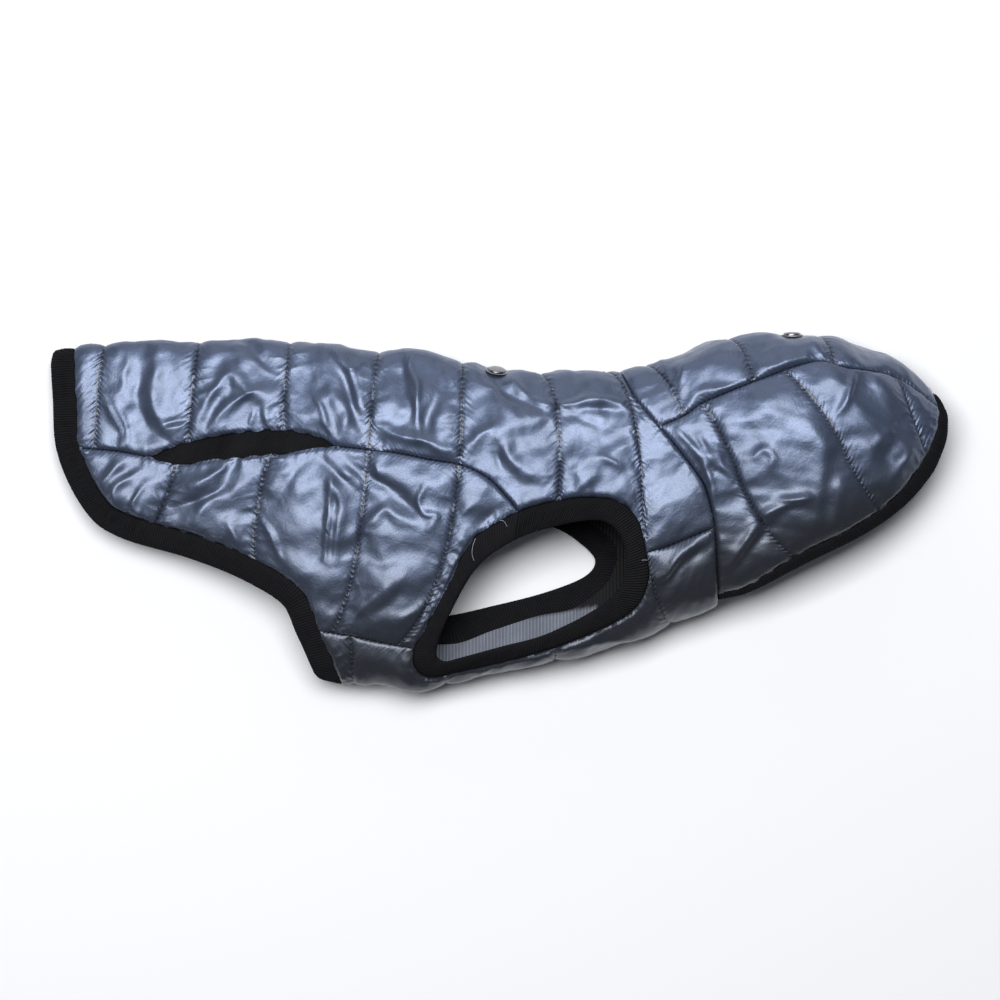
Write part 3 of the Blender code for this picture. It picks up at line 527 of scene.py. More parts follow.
crownCreases = [
    (1.8, 3, [(94.5, 50.3), (102.5, 57.2), (116.4, 59.5), (126.7, 64)]),
    (2.0, 3, [(129, 66.5), (142.8, 71), (156.5, 74.5)]),
    (1.2, 2.5, [(93.5, 69.8), (91, 60.6)]),
    (1.4, 2, [(82, 72), (86.5, 58.3)]),
    (1.2, 2, [(154, 82.5), (161, 73.2)]),
]
bellyCreases = [
    (2.0, 3, [(106, -10.5), (88.9, -22), (83, -30), (74, -36.9)]),
    (-1.8, 3.5, [(104, -16.5), (90, -27), (84, -34), (76, -41)]),
    (1.4, 3, [(14.5, -74), (28.5, -68.4), (45.5, -64), (65, -60)]),
    (-1.0, 1.5, [(18, -76), (32, -71), (48, -67)]),
]
farCreases = {"shift": -7, "share": 0.8}  # the lower side's creases against the upper side's
# How much a crease's width varies, and how its ends and its flanks fall away
creaseForm = {"waver": 0.2, "waverLength": 14, "blunt": 0.08, "taper": 0.6, "steep": 1.7}


def wander(u, v, length, seed, waves=9):
    # Soft noise of about -1 to 1 as a sum of waves that run every way.
    draw = np.random.default_rng(seed)
    angles = draw.uniform(0, math.pi, waves)
    scales = draw.uniform(0.65, 1.5, waves)
    phases = draw.uniform(0, 2 * math.pi, waves)
    total = 0
    for angle, scale, phase in zip(angles, scales, phases):
        turn = 2 * math.pi / (length * scale)
        total = total + np.sin(turn * (u * math.cos(angle) + v * math.sin(angle)) + phase)
    return total / 3


def alongLine(points, line):
    # Distance of each point from a line of points, the run along the line, and on which side it lies.
    flat = points.reshape(-1, 3)
    run = runOf(line)
    squares = (flat**2).sum(-1)[:, None] + (line**2).sum(-1)[None] - 2 * flat @ line.T
    nearest = squares.argmin(1)
    before, after = np.maximum(nearest - 1, 0), np.minimum(nearest + 1, len(line) - 1)
    direction = unit(line[after] - line[before])
    offset = flat - line[nearest]
    along = (offset * direction).sum(-1)
    inside = (nearest > 0) & (nearest < len(line) - 1)
    aside = offset - np.where(inside, along, 0)[:, None] * direction
    side = np.sign(np.cross(direction, offset)[:, 2])
    found = np.linalg.norm(aside, axis=-1), run[nearest] + along, side
    return [values.reshape(points.shape[:-1]) for values in found]


def smoothPath(points, samples=60):
    points = np.array(points, float)
    t = np.linspace(0, len(points) - 1, samples)
    knots = np.arange(len(points), dtype=float)
    return np.stack([smoothLine(t, knots, points[:, i]) for i in (0, 1)], -1)


def creaseHeight(points, creases, lower, seed):
    total = np.zeros(points.shape[:-1])
    waver = wander(points[..., 0], points[..., 1], creaseForm["waverLength"], seed)
    blunt = creaseForm["blunt"]
    for height, half, spots in creases:
        path = smoothPath(spots)
        if lower:
            path[:, 0] += farCreases["shift"]
            height *= farCreases["share"]
        turn = turnOf(path[:, 0], path[:, 1])
        line = onForm(np.stack([path[:, 0], -turn if lower else turn], -1))
        away, run, _ = alongLine(points, line)
        share = run / np.linalg.norm(np.diff(line, axis=0), axis=-1).sum()
        ends = np.sin(math.pi * (blunt + (1 - 2 * blunt) * share.clip(0, 1))) ** creaseForm["taper"]
        reach = half * (1 + creaseForm["waver"] * waver)
        total += height * ends * np.exp(-((away / reach) ** creaseForm["steep"]))
    return total


def gathered(points, line, kind, seed):
    # How far one sewn line lets the wall rise beside it, and the small folds that it gathers.
    style, common = sewing[kind], gathering
    away, run, side = alongLine(points, line)

    def uneven(across, label, number):
        return wander(run, across * side, common[label], seed + number)

    near = 1 - np.exp(-((away / style["near"]) ** common["nearPower"]))
    wide = 1 - np.exp(-((away / style["wide"]) ** common["widePower"]))
    rise = style["step"] * near + (1 - style["step"]) * wide

    # Narrow folds that slant away from the line
    slip = common["slip"] * style["pitch"] * uneven(6, "slipLength", 0)
    step = run + style["slant"] * away + slip
    loud = common["loud"][0] + common["loud"][1] * uneven(9, "loudLength", 1)
    atRoot = np.sin(np.pi / 2 * (away / common["root"]).clip(0, 1))
    hump = common["rootHeight"] + (1 - common["rootHeight"]) * atRoot
    hump = hump * np.exp(-((away / style["reach"]) ** common["foldPower"]))
    folds = style["pucker"] * loud * hump * np.cos(2 * np.pi * step / style["pitch"])

    # Wider ridges that run further into the puff
    wideStep = run + common["sway"] * away * uneven(3, "swayLength", 2)
    wideStep = wideStep + common["wideSlip"] * style["gatherPitch"] * uneven(20, "wideSlipLength", 3)
    ridge = (1 - np.abs(np.sin(np.pi * wideStep / style["gatherPitch"]))) ** common["ridge"]
    loudWide = common["wideLoud"][0] + common["wideLoud"][1] * uneven(15, "wideLoudLength", 4)
    loudWide = loudWide.clip(0, 2)
    humpWide = (away / common["wideRoot"]).clip(0, 1)
    humpWide = humpWide * np.exp(-((away / style["gatherReach"]) ** common["wideFoldPower"]))
    return rise, folds + style["gather"] * loudWide * humpWide * (ridge - common["ridgeMean"]), away, run


def fromSnap(points):
    spots = [onForm(np.array(place, float)) for _, place in snapPlaces]
    return np.min([np.linalg.norm(points - spot, axis=-1) for spot in spots], axis=0)


def outerHeight(points, places, sewn, creases, seed):
    # The outer skin's height over the form.
    rise, folds, low = np.ones(points.shape[:-1]), 0, np.zeros(points.shape[:-1])
    weights = np.full(points.shape[:-1], 1e-6)
    fromStitch, alongStitch = np.full(points.shape[:-1], farAway), np.zeros(points.shape[:-1])
    for number, (kind, line) in enumerate(sewn):
        lift, fold, away, run = gathered(points, line, kind, seed + 10 * number)
        rise, folds = rise * lift, folds + fold
        crinkled = away + sewing[kind]["calm"]
        alongStitch = np.where(crinkled < fromStitch, run, alongStitch)
        fromStitch = np.minimum(fromStitch, crinkled)
        weight = (1 - lift) ** 3 + 1e-9
        low, weights = low + weight * sewing[kind]["low"], weights + weight
    low = low / weights
    height = low + (padding["full"] - low) * rise
    u, v = places[..., 0], roundLength(places)
    wave = padding["wave"] * wander(u, v, padding["waveLength"], seed + 501)
    wave = wave + padding["ripple"] * wander(u, v, padding["rippleLength"], seed + 502)
    upper = creaseHeight(points, creases, False, seed + 503)
    lower = creaseHeight(points, creases, True, seed + 504)
    upperShare = (0.5 + np.sin(np.radians(places[..., 1])) / padding["foldBlend"]).clip(0, 1)
    crease = upper * upperShare + lower * (1 - upperShare)
    full = height + rise * wave + np.sqrt(rise) * crease + folds
    pressed = np.exp(-((fromSnap(points) / snap["pressReach"]) ** 3))
    full = full * (1 - pressed) + np.minimum(full, snap["pressedTo"]) * pressed
    return np.maximum(full, padding["lowest"]), fromStitch, alongStitch


def roundLength(places, count=120):
    # Length round the tube from the spine to each place, so that weave and ribs follow the cloth.
    turns = np.linspace(-180, 360, 541)
    stations = np.linspace(sections[0, 0], sections[-1, 0], count)
    ring = onForm(np.stack(np.broadcast_arrays(stations[:, None], turns[None]), -1))
    steps = np.linalg.norm(np.diff(ring, axis=1), axis=-1)
    length = np.concatenate([np.zeros((len(stations), 1)), np.cumsum(steps, axis=1)], axis=1)
    length -= length[:, 180:181]
    atX = (places[..., 0] - stations[0]) / (stations[1] - stations[0])
    atTurn = places[..., 1] + 180
    i = np.floor(atX).astype(int).clip(0, count - 2)
    j = np.floor(atTurn).astype(int).clip(0, len(turns) - 2)
    a, b = atX - i, atTurn - j
    near = (1 - a) * (1 - b) * length[i, j] + a * (1 - b) * length[i + 1, j]
    return near + (1 - a) * b * length[i, j + 1] + a * b * length[i + 1, j + 1]


def gridFaces(columns, rows, closed, start=0):
    k, r = np.meshgrid(np.arange(columns if closed else columns - 1), np.arange(rows - 1), indexing="ij")
    a, b = (k * rows + r).ravel(), ((k + 1) % columns * rows + r).ravel()
    return np.stack([a, b, b + 1, a + 1], -1) + start


def wallFaces(columns, rows, closed):
    # Both skins of a wall and the rim between them, and which of the three each face belongs to: 0, 1 or 2.
    outer = gridFaces(columns, rows, closed)
    count = columns * rows
    inner = gridFaces(columns, rows, closed, count)[:, ::-1]
    k = np.arange(columns if closed else columns - 1)
    after = (k + 1) % columns
    rims = []
    for r, flip in ((0, False), (rows - 1, True)):
        here, there = k * rows + r, after * rows + r
        quad = np.stack([here, here + count, there + count, there], -1)
        rims.append(quad[:, ::-1] if flip else quad)
    if not closed:
        r = np.arange(rows - 1)
        for c, flip in ((0, True), (columns - 1, False)):
            base = c * rows
            quad = np.stack([base + r, base + r + count, base + r + 1 + count, base + r + 1], -1)
            rims.append(quad[:, ::-1] if flip else quad)
    rim = np.concatenate(rims)
    kinds = np.concatenate([np.zeros(len(outer)), np.ones(len(inner)), np.full(len(rim), 2)]).astype(int)
    return np.concatenate([outer, inner, rim]), kinds


sharpFrom = 60  # degrees between faces


def makeObject(name, points, faces, uv, materials, kinds, shades=None):
    mesh = bpy.data.meshes.new(name)
    mesh.from_pydata(points * mm, [], faces)
    corners = points[faces[:, :3]]
    volume = (corners[:, 0] * np.cross(corners[:, 1], corners[:, 2])).sum()
    if volume < 0:
        mesh.flip_normals()
    if uv is not None:
        layer = mesh.uv_layers.new(name="Cloth")
        order = np.zeros(len(mesh.loops), int)
        mesh.loops.foreach_get("vertex_index", order)
        layer.data.foreach_set("uv", uv[order].ravel().astype(np.float32))
    for label, values in (shades or {}).items():
        mesh.attributes.new(label, "FLOAT", "POINT").data.foreach_set("value", values.astype(np.float32))
    for material in materials:
        mesh.materials.append(material)
    mesh.polygons.foreach_set("material_index", kinds)
    mesh.shade_smooth()
    mesh.set_sharp_from_angle(angle=math.radians(sharpFrom))
    mesh.validate()
    made = bpy.data.objects.new(name, mesh)
    bpy.context.scene.collection.objects.link(made)
    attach(made, "root")
    return made


def edgesInward(points):
    # A step from each edge point of a piece towards the inside, and none elsewhere.
    shift = np.zeros_like(points)
    for end, inside in ((0, 1), (-1, -2)):
        shift[:, end] += unit(points[:, inside] - points[:, end])
        shift[end] += unit(points[inside] - points[end])
    return shift


# The outer skin is let grow a little between its sewn lines, as cloth over wadding does
settling = {
    "scale": 30,  # the cloth is simulated this much larger, where the solver is steadier
    "cell": 2.4,
    "frames": 18,
    "grow": 0.04,
    "pressure": 0.1,
    "stiffness": 10,
    "bending": 1.0,
    "mass": 0.3,
    "share": 0.4,  # how much of the move is kept
    "cap": 1.5,  # and where it levels off
}


def coarseSteps(run, marks):
    steps = [0]
    for first, last in zip(marks, marks[1:]):
        count = max(1, round((run[last] - run[first]) / settling["cell"]))
        even = np.linspace(run[first], run[last], count + 1)[1:]
        steps += [int(np.abs(run - value).argmin()) for value in even]
    return np.unique(steps)


def spread(coarse, steps, count):
    # Values known on some of the points of a line, for all of its points.
    at = np.arange(count)
    after = np.searchsorted(steps, at).clip(1, len(steps) - 1)
    share = ((at - steps[after - 1]) / (steps[after] - steps[after - 1]))[:, None, None]
    fine = coarse[after - 1] * (1 - share) + coarse[after] * share
    for _ in range(2):
        fine[1:-1] = fine[1:-1] / 2 + (fine[:-2] + fine[2:]) / 4
    return fine


def settle(name, outer, lines):
    columns = coarseSteps(runOf(outer[:, outer.shape[1] // 2]), lines)
    rows = coarseSteps(runOf(outer[outer.shape[0] // 2]), [0, outer.shape[1] - 1])
    start = outer[np.ix_(columns, rows)] * mm * settling["scale"]
    held = np.zeros(start.shape[:2], bool)
    held[[0, -1]], held[:, [0, -1]], held[np.isin(columns, lines)] = True, True, True
    held |= fromSnap(start / mm / settling["scale"]) < snap["pressReach"]
    mesh = bpy.data.meshes.new("settling")
    mesh.from_pydata(start.reshape(-1, 3), [], gridFaces(*start.shape[:2], False)[:, ::-1])
    cloth = bpy.data.objects.new("settling", mesh)
    bpy.context.scene.collection.objects.link(cloth)
    cloth.vertex_groups.new(name="sewn").add(np.flatnonzero(held.ravel()).tolist(), 1.0, "REPLACE")
    settings = cloth.modifiers.new("cloth", "CLOTH").settings
    settings.vertex_group_mass = "sewn"
    settings.mass = settling["mass"]
    settings.tension_stiffness = settings.compression_stiffness = settling["stiffness"]
    settings.shear_stiffness = settling["stiffness"] / 3
    settings.bending_stiffness = settling["bending"]
    settings.shrink_min = -settling["grow"]
    settings.use_pressure = True
    settings.uniform_pressure_force = settling["pressure"]
    settings.effector_weights.gravity = 0
    for number in range(1, settling["frames"] + 1):
        bpy.context.scene.frame_set(number)
    moved = np.zeros(start.size)
    settled = cloth.evaluated_get(bpy.context.evaluated_depsgraph_get())
    settled.data.vertices.foreach_get("co", moved)
    bpy.data.objects.remove(cloth)
    bpy.data.meshes.remove(mesh)
    bpy.context.scene.frame_set(1)
    shift = (moved.reshape(start.shape) - start) / mm / settling["scale"]
    length = np.linalg.norm(shift, axis=-1, keepdims=True)
    cap = settling["cap"]
    shift *= settling["share"] * np.tanh(length / cap) * cap / np.maximum(length, 1e-6)
    print(f"{name}: settled {start.shape[0]} by {start.shape[1]} points, moved {length.mean():.2f} mm")
    fine = spread(shift, columns, outer.shape[0])
    return outer + spread(fine.swapaxes(0, 1), rows, outer.shape[1]).swapaxes(0, 1)


def overhang(points, bands, seed):
    # The outer skin's edges swell unevenly over the bands beside them.
    nearest = np.min([alongLine(points, line)[0] for line in bands], axis=0)
    least, varying = padding["swell"]
    swell = least + varying * wander(points[..., 0], points[..., 1], padding["swellLength"], seed)
    amount = padding["overhang"] * swell * (nearest < padding["bandReach"])
    return -edgesInward(points) * amount[..., None]


quilting = []  # each quilting line's points on the outer skin, and their normals


def makeShell(name, places, lines, sewn, creases, seed):
    points, normals = onForm(places), outward(places)
    allLines = [(kind, onForm(line)) for kind, line in sewn] + [("quilt", points[k]) for k in lines[1:-1]]
    height, fromStitch, alongStitch = outerHeight(points, places, allLines, creases, seed)
    u, v = places[..., 0], roundLength(places)
    lining = padding["liningWave"] * wander(u, v, padding["liningWaveLength"], seed + 600)
    lining = padding["liningSink"] + lining
    points = points + edgesInward(points) * padding["seamGap"] / 2  # each edge lies a hair inside its seam
    outer, inner = points + normals * height[..., None], points - normals * lining[..., None]
    outer = settle(name, outer, lines)
    bands = [line for kind, line in allLines if kind == "band"]
    outer += overhang(points, bands, seed + 700)
    outer[..., 2] = outer[..., 2].clip(padding["floorGap"])
    columns, rows = places.shape[:2]
    faces, kinds = wallFaces(columns, rows, False)
    both = np.concatenate([outer.reshape(-1, 3), inner.reshape(-1, 3)])
    uv = np.tile(np.stack([u.ravel(), v.ravel()], -1), (2, 1)) * mm
    edgeX, edgeY = np.array(padding["facing"], float).T
    beyond = both[:, 1] - np.interp(both[:, 0], edgeX, edgeY, left=farAway, right=farAway)
    # Painted shade and brown floor reflection: the cloth is darkened and browned where its normal turns
    # towards the belly
    below = ((-normals[..., 1] - padding["belowShadeFrom"]) / padding["belowShadeOver"]).clip(0, 1)
    shades = {
        "fromStitch": np.tile(fromStitch.ravel(), 2),
        "alongStitch": np.tile(alongStitch.ravel(), 2),
        "faced": np.where(both[:, 0] > edgeX[1], 1, (0.5 + beyond / padding["facingBlend"]).clip(0, 1)),
        "belowShade": np.tile((below * below * (3 - 2 * below)).ravel(), 2),
    }
    slots = (kinds == 1).astype(int)
    materials = [finishes["shell"], finishes["lining"]]
    made = makeObject(name + "_cloth", both, faces, uv, materials, slots, shades)
    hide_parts(name)
    for k in lines[1:-1]:
        quilting.append((outer[k], normals[k]))
    print(f"{name}: {columns} by {rows} points")
    return made


# Ribbed black bands, folded over the cloth's edges
band = {
    "hemWidth": [(0, 9.3), (0.006, 11.0), (0.013, 12.2), (0.027, 13.0), (1, 13.0)],  # from the spine
    # width of the face band from its ends at the neck, share 0, to the spine, share 1
    "faceWidth": [(0, 5.5), (0.1, 5.5), (0.25, 8.0), (0.55, 9.0), (0.75, 11.0), (0.88, 7.5), (1, 5.5)],
    "ribPitch": 1.25,
    "ribHeight": 0.2,
    "ribBlunt": 0.06,  # how little the ribs flatten towards both edges
    "innerRib": 0.6,  # the inner side's ribs against the outer side's
    "stepsPerRib": 4,
    # share of the width, height outside the form, height inside it
    "profile": [
        (0, 0.9, 0.1), (0.05, 1.6, 0.3), (0.12, 2.1, 0.4), (0.3, 2.4, 0.45), (0.5, 2.45, 0.45),
        (0.7, 2.4, 0.4), (0.86, 2.1, 0.3), (0.95, 1.6, 0.05), (0.99, 1.1, -0.3), (1.0, 0.7, -0.6),
    ],
    "wave": 0.25,
    "waveLength": 9,
    "bendSpan": 6,  # points each way that give the edge's direction
    "asideSteps": 6,
    "leastInside": 0.3,  # between the band's two sides where it lies on the floor
}
# The lens of knit let into each side seam
insert = {
    "height": 1.15,  # of its outer side over the form
    "under": 0.2,  # of its inner side below the form
    "clear": 0.02,  # share of the width left free at each edge
    "ribPitch": 1.2,
    "ribHeight": 0.16,
    "wave": 0.35,
    "waveLength": 12,
    "rows": 9,
}


def evenLine(places, step, closed):
    if closed:
        places = np.concatenate([places, places[:1] + np.array((0, 360.0))])
    run = lengthsOf(places)
    made = readAt(np.linspace(0, run[-1], max(8, round(run[-1] / step)) + 1), run, places)
    return made[:-1] if closed else made


def stepAside(places, distance, closed):
    # The places that lie this far beside a line on the form, on its right.
    points = onForm(places)
    span = band["bendSpan"]
    if closed:
        tangent = np.roll(points, -span, 0) - np.roll(points, span, 0)
    else:
        number = np.arange(len(points))
        tangent = points[(number + span).clip(0, len(points) - 1)] - points[(number - span).clip(0)]
    move = unit(np.cross(unit(tangent), outward(places))) * distance[:, None]
    along, around = slopesAt(places)
    aa, ab, bb = (along * along).sum(-1), (along * around).sum(-1), (around * around).sum(-1)
    am, bm = (along * move).sum(-1), (around * move).sum(-1)
    area = aa * bb - ab * ab
    return places + np.stack([(bb * am - ab * bm) / area, (aa * bm - ab * am) / area], -1)


def makeKnitWall(name, outer, inner, run, across, closed):
    # The wall of a knit strip. Its cloth coordinates are the run along it and the distance across it.
    outer[..., 2] = outer[..., 2].clip(padding["floorGap"])
    faces, _ = wallFaces(*outer.shape[:2], closed)
    both = np.concatenate([outer.reshape(-1, 3), inner.reshape(-1, 3)])
    place = np.stack(np.broadcast_arrays(run[:, None], across), -1).reshape(-1, 2)
    uv = np.tile(place, (2, 1)) * mm
    made = makeObject(name + "_knit", both, faces, uv, [finishes["rib"]], np.zeros(len(faces), int))
    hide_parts(name)
    return made


def makeBand(name, rows, width, closed, seed):
    # rows holds the places across the band, from the seam to the free edge.
    shares, outSide, inSide = np.array(band["profile"]).T
    at = shares * (rows.shape[1] - 1)
    low = np.floor(at).astype(int).clip(0, rows.shape[1] - 2)
    part = (at - low)[None, :, None]
    places = rows[:, low] * (1 - part) + rows[:, low + 1] * part
    points, normals = onForm(places), outward(places)
    middle = points[:, len(shares) // 2]
    run = runOf(middle)
    total = run[-1] + (np.linalg.norm(middle[0] - middle[-1]) if closed else 0)
    pitch = total / round(total / band["ribPitch"])
    blunt = band["ribBlunt"]
    flattened = np.sin(np.pi * (blunt + (1 - 2 * blunt) * shares))[None] ** 0.5
    ribs = np.cos(2 * np.pi * run / pitch)[:, None] * flattened
    wave = band["wave"] * wander(run[:, None] / 3, shares[None] * 8, band["waveLength"], seed)
    wave = wave * np.sin(np.pi * shares)[None]
    out = outSide[None] + band["ribHeight"] * ribs + wave
    inside = inSide[None] + band["innerRib"] * band["ribHeight"] * ribs
    outer, inner = points + normals * out[..., None], points - normals * inside[..., None]
    inner[..., 2] = inner[..., 2].clip(padding["floorGap"] + band["leastInside"])
    made = makeKnitWall(name, outer, inner, run, shares[None] * width[:, None], closed)
    print(f"{name}: {total:.0f} mm long, {width.min():.1f} to {width.max():.1f} mm wide")
    return made


def makeEdgeBand(name, edge, widthAlong, closed, seed):
    line = evenLine(edge, band["ribPitch"] / band["stepsPerRib"], closed)
    run = lengthsOf(line)
    width = np.interp(2 * np.minimum(run, run[-1] - run) / run[-1], *zip(*widthAlong))
    rows = [line]
    for _ in range(band["asideSteps"]):
        rows.append(stepAside(rows[-1], width / band["asideSteps"], closed))
    return makeBand(name, np.stack(rows, 1), width, closed, seed)


def makeLegBand(name, edge, marks, opening, corners, far, seed):
    inner = whole(cutUp(opening, (0, *corners, len(opening)), np.diff(marks), closed=True))
    fine, number = np.arange(0, len(edge) - 1, 1 / band["stepsPerRib"]), np.arange(len(edge))
    outside, inside = readAt(fine, number, edge), readAt(fine, number, inner)
    rows = np.stack([outside + (inside - outside) * share for share in (0, 0.5, 1)], 1)
    width = np.linalg.norm(np.diff(onForm(rows), axis=1), axis=-1).sum(1)
    return makeBand(name, mirrored(rows) if far else rows, width, True, seed)


def makeInsert(name, upper, lower, far, seed):
    fine = np.arange(0, len(upper) - 1 + 1e-6, 1 / band["stepsPerRib"])
    number = np.arange(len(upper))
    above, below = readAt(fine, number, upper), readAt(fine, number, lower)
    share = np.linspace(insert["clear"], 1 - insert["clear"], insert["rows"])
    cut = slice(band["stepsPerRib"] * 2, -band["stepsPerRib"] * 2)
    places = (above[:, None] + (below - above)[:, None] * share[None, :, None])[cut]
    places = mirrored(places) if far else places
    points, normals = onForm(places), outward(places)
    run = runOf(points[:, insert["rows"] // 2])
    width = np.linalg.norm(np.diff(points, axis=1), axis=-1).sum(1)
    ribs = np.cos(2 * np.pi * run / insert["ribPitch"])[:, None]
    wave = insert["wave"] * wander(run[:, None] / 2, share[None] * 6, insert["waveLength"], seed)
    out = insert["height"] + insert["ribHeight"] * ribs + wave
    outer, inner = points + normals * out[..., None], points - insert["under"] * normals
    made = makeKnitWall(name, outer, inner, run, share[None] * width[:, None], False)
    print(f"{name}: {run[-1]:.0f} mm long, up to {width.max():.1f} mm wide")
    return made


# Sewing thread along the quilting
thread = {
    "pitch": 2.7,
    "length": 1.7,
    "radius": 0.17,
    "lift": 0.05,
    "dip": 0.3,  # how far a stitch's ends sink into the cloth
    "follow": 0.35,  # how much a stitch follows the cloth under it
    "taper": 0.8,
    "sides": 6,
    "rings": 6,
    "floorGap": 0.01,
}
# Pale thread ends left at the leg band
looseEnds = {
    "radius": 0.14,
    "tip": 0.6,  # how thin the end is against the rest
    "rings": 14,
    # each one's points (x, y), and how far above the form it starts and ends
    "runs": [
        ([(1, -5), (3.2, -5.6), (4.6, -8)], 2.2, 2.9),
        ([(-11, -14), (-12.4, -18), (-12.6, -22), (-11.6, -25)], 2.2, 3.2),
        ([(68.5, -25.5), (71, -24.4), (74, -24.2)], 2.2, 2.8),
    ],
}


def addTube(points, faces, core, up, thick):
    # A closed tube round a line of points.
    sides, count, start = thread["sides"], len(core), sum(map(len, points))
    turns = np.linspace(0, 2 * math.pi, sides, endpoint=False)[:, None]
    ahead = unit(np.gradient(core, axis=0))
    aside = unit(np.cross(up, ahead))
    ring = np.cos(turns) * aside[:, None] + np.sin(turns) * np.cross(ahead, aside)[:, None]
    body = core[:, None] + thick[:, None, None] * ring
    body[..., 2] = body[..., 2].clip(thread["floorGap"])
    points.append(body.reshape(-1, 3))
    j, i = np.meshgrid(np.arange(count - 1), np.arange(sides), indexing="ij")
    a, b = j * sides + i, j * sides + (i + 1) % sides
    faces.append(np.stack([a, b, b + sides, a + sides], -1).reshape(-1, 4) + start)
    for first, flip in ((0, -1), ((count - 1) * sides, 1)):
        cap = [(first, first + k, first + k + 1, first + k + 2) for k in range(1, sides - 2, 2)]
        faces.append(np.array(cap)[:, ::flip] + start)


def joinTubes(name, points, faces, finish):
    points, faces = np.concatenate(points), np.concatenate(faces)
    return makeObject(name, points, faces, None, [finishes[finish]], np.zeros(len(faces), int))


def makeStitches():
    t = np.linspace(-1, 1, thread["rings"])
    follow = thread["follow"]
    points, faces = [], []
    for line, normals in quilting:
        run = runOf(line)
        for centre in np.arange(thread["pitch"], run[-1] - thread["pitch"], thread["pitch"]):
            core = readAt(centre + t * thread["length"] / 2, run, line)
            up = unit(readAt(centre, run, normals))
            straight = core[0] + (core[-1] - core[0]) * (t[:, None] + 1) / 2
            core = core * follow + straight * (1 - follow)
            core += up * (thread["lift"] - thread["dip"] * t[:, None] ** 4)
            addTube(points, faces, core, up, thread["radius"] * np.sqrt(1 - thread["taper"] * t**4))
    joinTubes("quilting_stitches", points, faces, "thread")
    print(f"quilting_stitches: {len(points)} stitches")


def makeLooseEnds():
    points, faces = [], []
    radius = looseEnds["radius"]
    for spots, low, high in looseEnds["runs"]:
        path = smoothPath(spots, looseEnds["rings"])
        places = np.stack([path[:, 0], turnOf(path[:, 0], path[:, 1])], -1)
        up = outward(places)
        core = onForm(places) + up * np.linspace(low, high, len(path))[:, None]
        addTube(points, faces, core, up, np.linspace(radius, looseEnds["tip"] * radius, len(path)))
    joinTubes("loose_thread_ends", points, faces, "looseThread")
    print(f"loose_thread_ends: {len(points)} ends")


# Snap caps: a domed cap in a thin washer
snap = {
    "base": 2.9,  # where the washer's underside lies above the form
    "height": 1.9,
    # radius and height, from the washer's underside up to the cap's shoulder
    "profile": [
        (5.2, 0), (5.5, 0.16), (5.5, 0.36), (5.3, 0.5), (4.8, 0.5), (4.55, 0.2), (4.35, 0.3), (4.35, 0.85),
    ],
    "dome": 0.8,  # below 1 is flatter on top
    "sides": 56,
    "sharpFrom": 40,
    "pressedTo": 2.5,
    "pressReach": 8.5,
}
snapPlaces = [("snap_back", (-1, 9.5)), ("snap_hood", (147, 3))]


def makeSnap(name, place):
    cap, shoulder = snap["profile"][-1]
    rise = snap["height"] - shoulder
    lean = np.radians(range(10, 90, 10))
    dome = [(cap * math.cos(a), shoulder + rise * math.sin(a) ** snap["dome"]) for a in lean]
    r, h = np.array(snap["profile"] + dome).T
    place = np.array(place, float)
    up = outward(place)
    side = unit(np.cross(up, (1.0, 0.0, 0.0)))
    forward = np.cross(side, up)
    base = onForm(place) + up * snap["base"]
    count, sides = len(r), snap["sides"]
    turns = np.linspace(0, 2 * math.pi, sides, endpoint=False)
    spokes = np.cos(turns)[:, None] * forward + np.sin(turns)[:, None] * side
    points = base + h[:, None, None] * up + r[:, None, None] * spokes[None]
    faces = gridFaces(count, sides, False).tolist()
    j = np.arange(count - 1) * sides
    faces += np.stack([j + sides - 1, j + 2 * sides - 1, j + sides, j], -1).tolist()
    ends = np.concatenate([points.reshape(-1, 3), [base, base + up * snap["height"]]])
    bottom, top, last = count * sides, count * sides + 1, (count - 1) * sides
    pairs = [(k, (k + 1) % sides) for k in range(sides)]
    faces += [(b, a, bottom) for a, b in pairs]
    faces += [(a + last, b + last, top) for a, b in pairs]
    mesh = bpy.data.meshes.new(name + "_cap")
    mesh.from_pydata(ends * mm, [], faces)
    mesh.materials.append(finishes["snap"])
    made = bpy.data.objects.new(name + "_cap", mesh)
    bpy.context.scene.collection.objects.link(made)
    bpy.context.view_layer.update()
    shaped = bmesh.new()
    shaped.from_mesh(mesh)
    bmesh.ops.recalc_face_normals(shaped, faces=shaped.faces)
    shaped.to_mesh(mesh)
    shaped.free()
    mesh.shade_smooth()
    mesh.set_sharp_from_angle(angle=math.radians(snap["sharpFrom"]))
    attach(made, "root")
    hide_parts(name)
    print(f"{name}: {2 * r.max():.0f} mm across")
    return made


# Finishes
finishes = {}


def setSockets(tree, node, values):
    for name, value in values.items():
        socket = node.inputs[name]
        if isinstance(value, bpy.types.NodeSocket):
            tree.links.new(value, socket)
        else:
            socket.default_value = value


def addNode(tree, kind, values, **settings):
    node = tree.nodes.new(kind)
    for name, value in settings.items():
        setattr(node, name, value)
    setSockets(tree, node, values)
    return node


def calc(tree, operation, *numbers):
    # A missing second or third number counts as 0.
    values = dict(enumerate((*numbers, 0.0, 0.0)[:3]))
    return addNode(tree, "ShaderNodeMath", values, operation=operation).outputs[0]


def clamped(tree, value):
    return addNode(tree, "ShaderNodeClamp", {"Value": value}).outputs[0]


def mixColours(tree, share, first, second, blend="MIX"):
    values = {"Factor": share, 6: first, 7: second}
    return addNode(tree, "ShaderNodeMix", values, data_type="RGBA", blend_type=blend).outputs[2]


def addNoise(tree, place, scale, **more):
    values = {"Vector": place, "Scale": scale, **more}
    return addNode(tree, "ShaderNodeTexNoise", values).outputs[0]


def splitPlace(tree, place):
    return addNode(tree, "ShaderNodeSeparateXYZ", {"Vector": place}).outputs


